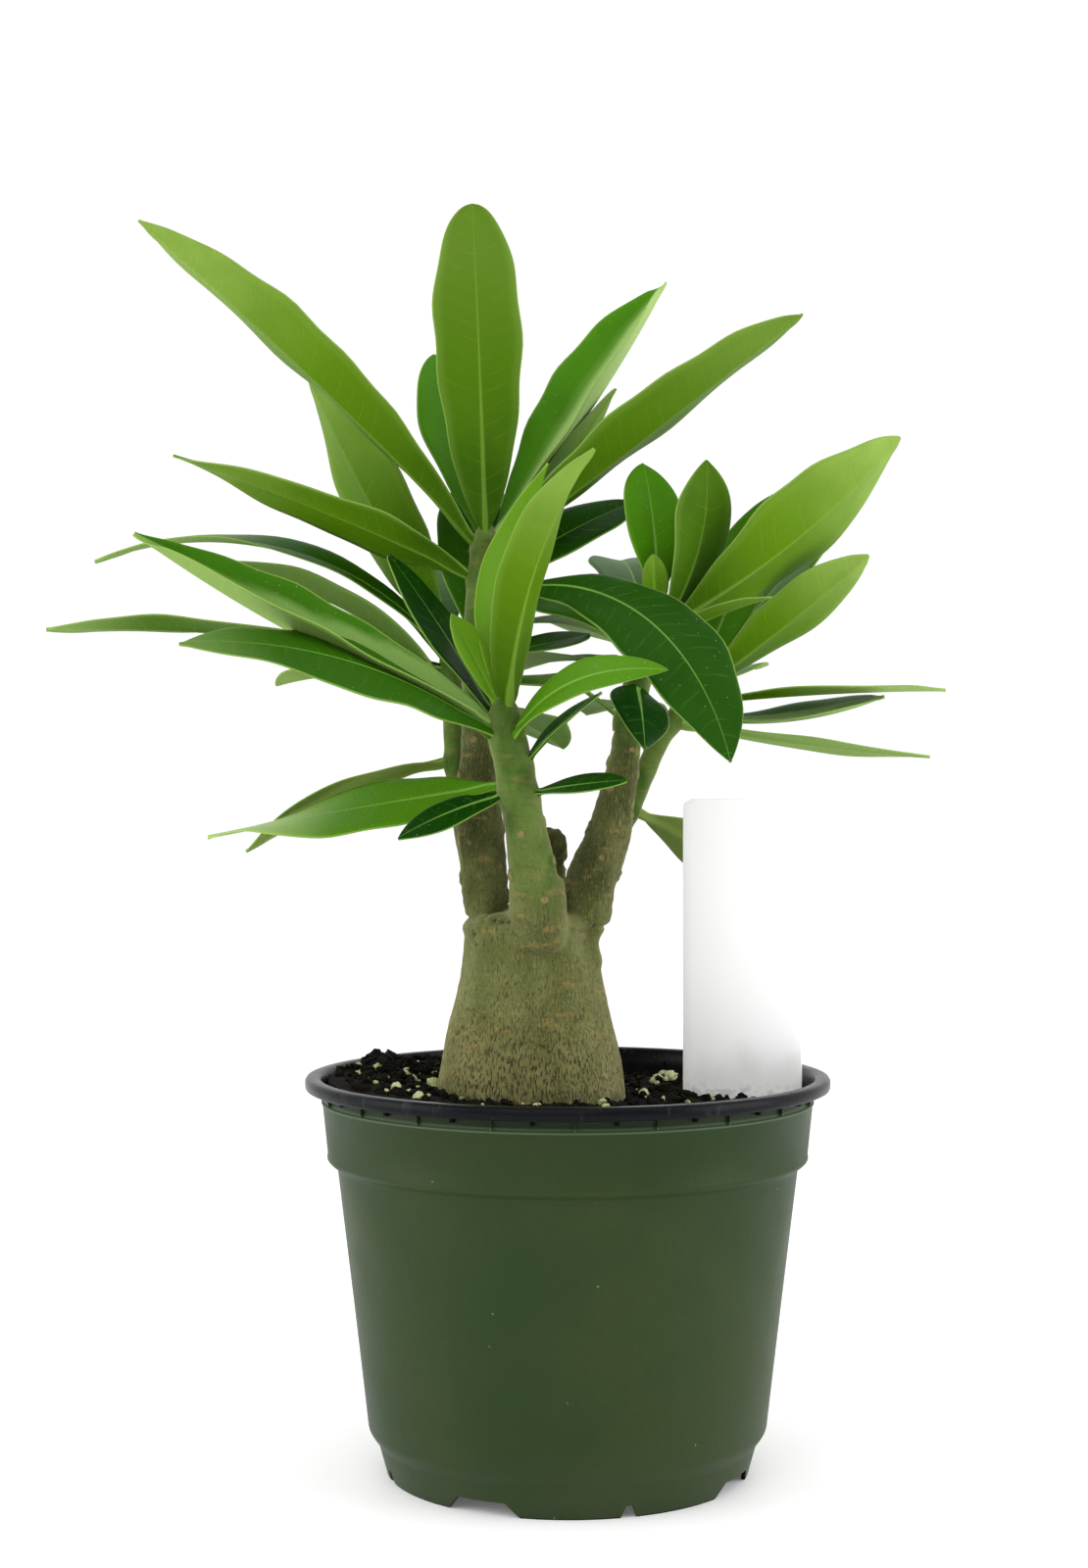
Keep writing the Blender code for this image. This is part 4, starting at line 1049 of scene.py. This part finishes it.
def add_caudex(bm):
    outline = [(max(row.x, 0.0), row.y) for row in catmull_rom(CAUDEX_OUTLINE, 3)]
    spin_outline(bm, outline, CAUDEX_SIDES)
    for vert in bm.verts:
        angle = atan2(vert.co.y, vert.co.x)
        lobes = (size * cos(count * (angle - radians(start))) for count, size, start in CAUDEX_LOBES)
        swell = 1.0 + sum(lobes)
        vert.co.x = vert.co.x * swell + CAUDEX_PLACE[0]
        vert.co.y = vert.co.y * swell + CAUDEX_PLACE[1]


def trunk_forms():
    bm = bmesh.new()
    add_caudex(bm)
    for root in ROOTS:
        add_tube(bm, root_rows(*root), ROOT_SIDES, seam=(0.0, 0.0, 1.0))
    for name, line in STEM_LINES.items():
        add_tube(bm, tube_rows(line, 0.0, BARK_ENDS[name], BRANCH_STEP), BRANCH_SIDES)
    for points in (STUB_POINTS, FRONT_RIDGE):
        add_tube(bm, middle_line(points, 6), STUB_SIDES)
    bmesh.ops.recalc_face_normals(bm, faces=bm.faces)
    return make_piece(bm, "trunk", [bark])


trunk = trunk_forms()
skin = trunk.modifiers.new("skin", "REMESH")
skin.mode = "VOXEL"
skin.voxel_size = 0.0008
melt = trunk.modifiers.new("melt", "SMOOTH")
melt.factor = 0.5
melt.iterations = 6
bake_modifiers(trunk)
print("trunk skin:", len(trunk.data.vertices), "points")

# %% Which branch a point of the skin belongs to
# Distance along each branch, in metres, where its bark starts to turn green
GREEN_FROM = {"front": 0.03, "tall": 0.082, "left": 0.03, "right": 0.078, "far_right": 0.014}
stem_places = [(name, row) for name, line in STEM_LINES.items() for row in line]
stem_tree = KDTree(len(stem_places))
for index, (name, row) in enumerate(stem_places):
    stem_tree.insert(row[1], index)
stem_tree.balance()


def nearest_stem(point):
    """The name of the nearest stem, and how far along it the point lies."""
    name, row = stem_places[stem_tree.find(point)[1]]
    return name, row[0]


def branch_look(point):
    """How green and how old the skin is at a point."""
    name, distance = nearest_stem(point)
    patch = 0.5 + 0.5 * uneven(point, 0.008, 3.0)
    start = GREEN_FROM[name] + 0.006 * patch
    green = ramp(distance, start - 0.008, start + 0.006)
    old = 0.0 if name == "front" else ramp(distance, 0.018, 0.036)
    return green * (0.55 + 0.45 * patch), old


# %% Creases round the feet of two branches
# Each crease's place as seen from the front, its slope, and the shoulder below it
CREASES = {"tall": (-0.0306, 0.1737, 0.3, 0.0008), "right": (0.005, 0.1704, 0.06, 0.0002)}
CREASE_DEPTH, CREASE_REACH = 0.0011, 0.0014
ROLL_HEIGHT, ROLL_SPACING = 0.00015, 0.0042


def fold_round_branch(point):
    """The shoulder of the trunk, a sharp crease, and rolls of bark above it."""
    name = nearest_stem(point)[0]
    if name not in CREASES:
        return 0.0
    x, z, slope, shoulder = CREASES[name]
    above = point.z - z - slope * (point.x - x) + 0.0007 * uneven(point, 0.006, 8.0)
    crease = CREASE_DEPTH * bell(abs(above), CREASE_REACH)
    rolls = ROLL_HEIGHT * cos(above / ROLL_SPACING * tau) * bell(abs(above - 0.008), 0.009)
    return shoulder * bell(abs(above + 0.0026), 0.003) - crease + rolls


# %% Leaf scars and pits
# Each pit has its place as seen from the front, and its size
PITS = in_metres(
    (-29.9, 168.7, 0.8), (-29.5, 166.8, 0.6), (-23.5, 174.6, 0.9), (-20.7, 174.1, 0.8),
    (-19.1, 173.8, 0.7), (8.9, 171.4, 0.7),
)
# From one leaf scar to the next, the turn round the branch
SCAR_TURN = radians(137.5)


def leaf_scars():
    """Places in a spiral round every branch, a few millimetres apart."""
    scars = []
    for seed, (name, line) in enumerate(STEM_LINES.items()):
        draw = random.Random(seed)
        distance, turn = (0.012 if name == "far_right" else 0.03), draw.uniform(0.0, 6.0)
        while distance < BARK_ENDS[name]:
            point, radius = stem_at(line, distance)
            outward = Vector((cos(turn), sin(turn), 0.0))
            scars.append((point + outward * radius, outward, draw.uniform(0.0014, 0.0022)))
            distance += draw.uniform(0.003, 0.005)
            turn += SCAR_TURN
    return scars


scars = leaf_scars()
print(len(scars), "leaf scars")

# %% The relief of the bark
# The trunk is drawn in a little on its right side, under the branch
WAIST_HEIGHT, WAIST_REACH, WAIST_DEPTH = 0.1665, 0.0075, 0.0026
STUB_TOP = Vector(STUB_POINTS[-1][:3]) - Vector((0.0, 0.0, 0.006))
STUB_REACH = 0.0075
SCAR_RIM, SCAR_DEPTH, PIT_DEPTH = 0.0006, 0.0004, 0.001


def bark_relief(co, old):
    """How far the bark stands in or out: broad swellings, fine ridges and folds."""
    long = Vector((co.x, co.y, co.z * 0.4))
    banded = Vector((co.x * 0.3, co.y * 0.3, co.z))
    move = 0.0008 * uneven(long, 0.014) + 0.0003 * uneven(long, 0.0045, 2.0)
    move += 0.0002 * old * uneven(banded, 0.0042, 6.0)
    move -= WAIST_DEPTH * ramp(co.x, 0.001, 0.008) * bell(abs(co.z - WAIST_HEIGHT), WAIST_REACH)
    return move + 0.0003 * (0.4 + 0.6 * old) * uneven(co, 0.0026, 5.0) + fold_round_branch(co)


def stamp_scars(bm, layers, tree, shift):
    """A low rim and a shallow hollow for each leaf scar."""
    for point, outward, size in scars:
        for co, index, _ in tree.find_range(point, size * 1.6):
            vert = bm.verts[index]
            if vert.normal.dot(outward) > 0.2:
                away = (Vector(co) - point).length / size
                vert[layers["scar"]] = max(vert[layers["scar"]], bell(away, 1.2))
                shift[vert] += SCAR_RIM * bell(abs(away - 0.8), 0.8) - SCAR_DEPTH * bell(away, 0.7)


def stamp_pits(bm, layers, tree, shift):
    """A dark hole for each pit, in the part of the skin that faces the front."""
    for x, z, size in PITS:
        near = [vert.co for vert in bm.verts if abs(vert.co.x - x) < 0.001 and abs(vert.co.z - z) < 0.001]
        centre = min(near, key=lambda co: co.y)
        for _, index, away in tree.find_range(centre, size * 1.8):
            vert = bm.verts[index]
            vert[layers["pit"]] = max(vert[layers["pit"]], bell(away, size * 1.5))
            shift[vert] -= PIT_DEPTH * bell(away, size * 1.8)


# %% Shape the skin


def shape_trunk(piece):
    bm = bmesh.new()
    bm.from_mesh(piece.data)
    layers = make_layers(bm)
    bm.verts.ensure_lookup_table()
    tree = KDTree(len(bm.verts))
    shift = {}
    for vert in bm.verts:
        tree.insert(vert.co, vert.index)
        vert[layers["green"]], vert[layers["old"]] = branch_look(vert.co)
        shift[vert] = bark_relief(vert.co, vert[layers["old"]])
        if (vert.co - STUB_TOP).length < STUB_REACH and vert.co.z > 0.186:
            vert[layers["pit"]] = 0.45 + 0.35 * uneven(vert.co, 0.003, 7.0)
            shift[vert] += 0.0022 * uneven(vert.co, 0.003, 9.0)
    tree.balance()
    stamp_scars(bm, layers, tree, shift)
    stamp_pits(bm, layers, tree, shift)
    for vert, move in shift.items():
        vert.co += vert.normal * move
    bm.to_mesh(piece.data)
    bm.free()
    piece.data.shade_smooth()


shape_trunk(trunk)
place(trunk, "bark", "caudex")

# %% [markdown]
# ## Potting mix
#
# The mix is black peat and fine bark, with pale grains of perlite that the watering has
# washed to the edges. A particle system could scatter the crumbs. Placing them in code
# keeps them in one mesh with the bed they lie on, and leaves room to heap the mix up
# against the rim on the left, as on the real plant.

# %% Finishes of the mix


def mix_finish():
    finish = Finish("black_peat", Specular_IOR_Level=0.08)
    tone = finish.patches(0.35, 0.7, 420.0, 4.0)
    fibres = finish.patches(0.66, 0.74, 1500.0, 2.0)
    colour = finish.coats(
        finish.mix(tone, (0.002, 0.002, 0.001), (0.01, 0.008, 0.005)),
        (fibres * 0.4, (0.055, 0.04, 0.022)),
    )
    relief = finish.cloud(1300.0, 4.0)
    return finish.feed(Base_Color=colour, Roughness=0.86 + tone * 0.1, Normal=finish.bump(relief, 0.0006))


def perlite_finish():
    finish = Finish("perlite", Specular_IOR_Level=0.3)
    tone = finish.patches(0.42, 0.58, 110.0, 1.0)
    dirt = finish.patches(0.54, 0.72, 600.0, 3.0)
    colour = finish.coats(
        finish.mix(tone, (0.52, 0.52, 0.3), (0.42, 0.47, 0.19)),
        (dirt * 0.5, (0.11, 0.09, 0.04)),
    )
    relief = finish.cloud(1600.0, 3.0)
    return finish.feed(Base_Color=colour, Roughness=0.85 + dirt * 0.1, Normal=finish.bump(relief, 0.0003))


peat = mix_finish()
perlite = perlite_finish()
print("mix finishes:", peat.name, perlite.name)

# %% The bed
SOIL_HEIGHT = 0.1178
SOIL_TILT = 0.0026
SOIL_ROUGHNESS = 0.0012
HEAP_HEIGHT, HOLLOW_DEPTH = 0.0042, 0.0014
MOUND_HEIGHT, MOUND_PLACE, MOUND_REACH = 0.0034, (0.032, 0.026), 0.016
BED_RADIUS = 0.0752
BED_RINGS, BED_STEPS = 64, 150
BED_SIDE = in_metres(
    (73.3, 97.8), (70.5, 94.8), (60.8, 14), (57.7, 9.8), (56.2, 6.7), (27.5, 6.7), (21.9, 1.6),
    (0, 1.6),
)


def bed_height(x, y):
    """The top of the mix: a heap on the left, and a mound and a hollow at the right back."""
    point = Vector((x, y, 0.0))
    rough = noise.noise(point * 90.0) + 0.5 * noise.noise(Vector((x, y, 0.05)) * 210.0)
    heap = HEAP_HEIGHT * ramp(-x, 0.028, 0.064) - HOLLOW_DEPTH * ramp(x + y, 0.05, 0.09)
    mound = MOUND_HEIGHT * bell(hypot(x - MOUND_PLACE[0], y - MOUND_PLACE[1]), MOUND_REACH)
    fine = 0.0006 * uneven(point, 0.0045) + 0.0004 * uneven(point, 0.0021, 4.0)
    return SOIL_HEIGHT - SOIL_TILT * x / 0.075 + SOIL_ROUGHNESS * rough + heap + mound + fine


def potting_bed():
    bm = bmesh.new()
    top = [(BED_RADIUS * step / BED_RINGS, SOIL_HEIGHT) for step in range(BED_RINGS + 1)]
    spin_outline(bm, [*top, *BED_SIDE], BED_STEPS)
    for vert in bm.verts:
        if vert.co.z > SOIL_HEIGHT - 0.0001:
            sunk = 0.0012 * ramp(hypot(vert.co.x, vert.co.y), BED_RADIUS - 0.003, BED_RADIUS)
            vert.co.z = bed_height(vert.co.x, vert.co.y) - sunk
    return bm


# %% Where the crumbs and the perlite lie
CRUMB_COUNT = 800
CRUMB_SPREAD = 0.0725
# Nothing lies further from the pot's axis than this
CRUMB_LIMIT = 0.0735
# Heaps of clods: place, spread, count, and the smallest and largest clod
CLOD_HEAPS = (
    (-0.055, 0.036, 0.018, 80, 0.0013, 0.0034),
    (-0.06, 0.0, 0.018, 50, 0.0012, 0.0026),
    (-0.05, -0.028, 0.02, 40, 0.001, 0.0022),
    (-0.028, 0.054, 0.02, 40, 0.0012, 0.003),
    (0.034, 0.006, 0.018, 40, 0.0012, 0.0026),
    (0.03, 0.05, 0.024, 34, 0.001, 0.0022),
    (0.02, -0.04, 0.03, 36, 0.001, 0.002),
    (0.052, -0.008, 0.014, 34, 0.0009, 0.0019),
)
# Heaps of perlite: place, spread and count
PERLITE_HEAPS = (
    (-0.056, 0.012, 0.022, 40),
    (-0.046, -0.022, 0.016, 20),
    (-0.05, 0.046, 0.014, 8),
    (0.03, 0.004, 0.018, 22),
    (-0.008, -0.036, 0.022, 26),
    (0.03, 0.056, 0.012, 6),
)
# The largest grains of perlite, each with its place and its size
PERLITE_GRAINS = in_metres(
    (-62, 15.5, 1.8), (-61.2, 18, 1.6), (-51.2, 7.8, 1.9), (-48.8, 6, 1.4), (-42.2, -3, 2.1),
    (-52.4, -28.5, 1.8), (-45.2, -35, 1.6), (-61.9, 41, 2), (-51.9, 39, 1.8), (-66, 0, 1.4),
    (28, 22, 1.4), (30, 23.8, 1.8), (32, 22.6, 1.2), (33.3, 24.6, 2), (31.5, 25.8, 1.6),
    (35.6, 23.2, 1.4), (37.4, 25.2, 1.3), (34.9, 26.8, 1.7), (29.2, 20, 1), (10.6, -22.5, 2),
    (24, 1, 1.8),
)

# %% Crumbs and perlite
PEAT, PERLITE = 0, 1


def add_crumb(bm, x, y, size, draw, fineness, material_index):
    """A small uneven stone, half sunk in the bed."""
    made = bmesh.ops.create_icosphere(bm, subdivisions=fineness, radius=size)["verts"]
    stretch = Vector((draw.uniform(0.7, 1.3), draw.uniform(0.7, 1.2), draw.uniform(0.6, 1.0)))
    turn = Matrix.Rotation(draw.uniform(0.0, 6.28), 3, "Z") @ Matrix.Rotation(draw.uniform(-0.5, 0.5), 3, "X")
    reach, limit = hypot(x, y), CRUMB_LIMIT - size
    if reach > limit:
        x, y = x * limit / reach, y * limit / reach
    centre = Vector((x, y, bed_height(x, y) + size * 0.3))
    for vert in made:
        vert.co = centre + turn @ (vert.co * stretch) * draw.uniform(0.7, 1.22)
    for face in {face for vert in made for face in vert.link_faces}:
        face.material_index = material_index


def around(x, y, spread, draw):
    """A random place at most this far from another."""
    away, angle = spread * sqrt(draw.random()), draw.uniform(0.0, tau)
    return x + away * cos(angle), y + away * sin(angle)


def scatter(bm):
    draw = random.Random(11)
    for _ in range(CRUMB_COUNT):
        x, y = around(0.0, 0.0, CRUMB_SPREAD, draw)
        add_crumb(bm, x, y, 0.0005 + 0.0013 * draw.random() ** 2.0, draw, 1, PEAT)
    for x, y, spread, count, least, most in CLOD_HEAPS:
        for _ in range(count):
            size = least + (most - least) * draw.random() ** 2.0
            add_crumb(bm, *around(x, y, spread, draw), size, draw, 2, PEAT)
    for x, y, spread, count in PERLITE_HEAPS:
        for _ in range(count):
            add_crumb(bm, *around(x, y, spread, draw), draw.uniform(0.0006, 0.0012), draw, 1, PERLITE)
    for x, y, size in PERLITE_GRAINS:
        add_crumb(bm, x, y, size, draw, 2, PERLITE)


bed = potting_bed()
scatter(bed)
bmesh.ops.recalc_face_normals(bed, faces=bed.faces)
mix = make_piece(bed, "mix_bed", [peat, perlite])
mix.data.set_sharp_from_angle(angle=radians(55.0))
place(mix, "potting_mix", "potting_mix")

# %% [markdown]
# ## The plant label
#
# The label is a strip of thin white plastic, cut with rounded corners and a pointed
# foot, and it has bowed a little. It is left bare here. Thin white plastic lets some of
# the light behind it through. A scattering shader could show that slowly, and a faint
# glow of its own does it here. A grid follows the outline and gets its thickness from
# the same solidify that the leaves use.

# %% Label finish
WHITE = (1.0, 1.0, 1.0, 1.0)


def label_finish():
    glow = {"Emission_Color": WHITE, "Emission_Strength": 0.1}
    finish = Finish("label_white", Specular_IOR_Level=0.5, **glow)
    # A painted shadow: the lower part of the label is darker, below a ragged line
    edge = finish.cloud(90.0, 4.0, (1.0, 1.0, 0.4)) * 0.02 + finish.height()
    soiled = finish.above(0.1215, 0.118) * finish.patches(0.45, 0.6, 350.0, 4.0)
    colour = finish.coats(
        finish.mix(finish.cloud(35.0, 3.0), (0.96, 0.965, 0.965), (0.985, 0.985, 0.985)),
        (finish.rise(edge, 0.145, 0.13) * 0.5, (0.56, 0.57, 0.55)),
        (soiled * 0.35, (0.12, 0.105, 0.08)),
    )
    rough = finish.cloud(120.0, 3.0) * 0.15 + 0.28
    relief = finish.cloud(800.0, 2.0)
    return finish.feed(Base_Color=colour, Roughness=rough, Normal=finish.bump(relief, 0.00004))


# %% Label shape
LABEL_HALF = 0.019
LABEL_TOP = 0.211
LABEL_FOOT = 0.084
LABEL_POINT = 0.03
LABEL_CORNER = 0.003
LABEL_BOW, BOW_SHIFT = 0.0009, 0.0005
LABEL_HALF_THICKNESS = 0.0004
LEAST_HALF = 0.0004
# The rows of the label crowd to its foot and its top by this share
LABEL_CROWDING = 0.12
LABEL_PLACE = Vector((0.0556, 0.006, 0.0))
LABEL_TURN = -12.0


def label_half(height):
    """Half the label's width at a height above the floor."""
    corner = max(height - (LABEL_TOP - LABEL_CORNER), 0.0)
    rounded = LABEL_CORNER - sqrt(max(LABEL_CORNER ** 2 - corner ** 2, 0.0))
    point = min((height - LABEL_FOOT) / LABEL_POINT, 1.0)
    return max((LABEL_HALF - rounded) * point, LEAST_HALF)


def plant_label():
    bm = bmesh.new()
    strip, halfway = thin_sheet(bm, 12, 64)
    for vert in strip:
        share = (vert.co.y + 1.0) / 2
        share = share - LABEL_CROWDING * sin(tau * share) / tau * 4.0
        height = LABEL_FOOT + (LABEL_TOP - LABEL_FOOT) * share
        side = vert.co.x * label_half(height)
        bow = -LABEL_BOW * cos(vert.co.x * 1.2) + BOW_SHIFT
        thick = copysign(LABEL_HALF_THICKNESS, vert.co.z - halfway)
        vert.co = Vector((side, thick + bow, height))
    turn_on_axis(bm, bm.verts, LABEL_TURN)
    bmesh.ops.translate(bm, verts=bm.verts, vec=LABEL_PLACE)
    bmesh.ops.recalc_face_normals(bm, faces=bm.faces)
    rim = [edge for edge in bm.edges if edge.calc_face_angle(0.0) > 1.0]
    bmesh.ops.bevel(bm, geom=rim, offset=0.00018, affect="EDGES", segments=2, profile=0.5, material=-1)
    return make_piece(bm, "blank_label", [label_finish()])


label = plant_label()
label.data.set_sharp_from_angle(angle=radians(50.0))
place(label, "label_plastic", "plant_label")

# %% [markdown]
# ## Floor, light and camera
#
# The plant stands in an even, white light, so a white world does most of the work. The
# world is dimmer on the viewer's side, which leaves the middle of the pot dark and its
# edges light, but it looks white from every side. A large lamp in front and a lamp at
# each side model the plant softly. The camera is level with the middle of the leaves, a
# little under a metre away.

# %% Floor


def floor_finish():
    finish = Finish("studio_floor", Specular_IOR_Level=0.1, Emission_Color=WHITE, Emission_Strength=0.1)
    return finish.feed(Base_Color=finish.mix(finish.cloud(3.0), (0.97, 0.97, 0.97), (0.98, 0.98, 0.98)))


floor_mesh = bmesh.new()
bmesh.ops.create_grid(floor_mesh, x_segments=2, y_segments=2, size=4.0)
floor = make_piece(floor_mesh, "studio_floor", [floor_finish()])

# %% Light
WORLD_LIGHT = 1.05
VIEWER_SIDE_LIGHT = 0.36
VIEWER_SIDE, OTHER_SIDES = -0.95, -0.35
# The lamps: name, power, size and place. Each one points at the middle of the plant
LAMPS = (
    ("front", 10.5, 1.6, (-0.3, -1.6, 1.2)),
    ("left_side", 12.5, 1.2, (-1.5, -0.4, 0.6)),
    ("right_side", 13.5, 1.2, (1.5, -0.4, 0.6)),
)
LAMP_TARGET = Vector((0.0, 0.0, 0.15))


def white_room():
    """A white world that gives less light on the viewer's side, as an open studio does."""
    world = bpy.data.worlds.new("white_room")
    room = Graph(world)
    direction = room.node("TexCoord", {}, {}, "Generated")
    depth = room.node("SeparateXYZ", {}, {"Vector": direction}, "Y")
    light = room.rise(depth, VIEWER_SIDE, OTHER_SIDES, VIEWER_SIDE_LIGHT, WORLD_LIGHT)
    seen = room.node("LightPath", {}, {}, "Is Camera Ray")
    background = room.tree.nodes["Background"]
    background.inputs["Color"].default_value = WHITE
    room.tree.links.new(light.maths("MAXIMUM", light, seen).socket, background.inputs["Strength"])
    return world


bpy.context.scene.world = white_room()
bpy.context.scene.view_settings.view_transform = "Standard"
for name, power, size, location in LAMPS:
    data = bpy.data.lights.new(name, "AREA")
    data.energy = power
    data.size = size
    lamp = add_object(name, data)
    lamp.location = location
    lamp.rotation_euler = (LAMP_TARGET - Vector(location)).to_track_quat("-Z", "Y").to_euler()
print(len(LAMPS), "lamps")

# %% Camera
# The camera looks this many degrees below level
CAMERA_TILT = 0.224
view = bpy.data.cameras.new("product_view")
view.lens = 57.46
view.sensor_width = 36.0
camera = add_object("product_view", view)
camera.location = (-0.00742, -0.79, 0.2189)
camera.rotation_euler = (radians(90.0 - CAMERA_TILT), 0.0, 0.0)
bpy.context.scene.camera = camera
print("camera at", tuple(camera.location))
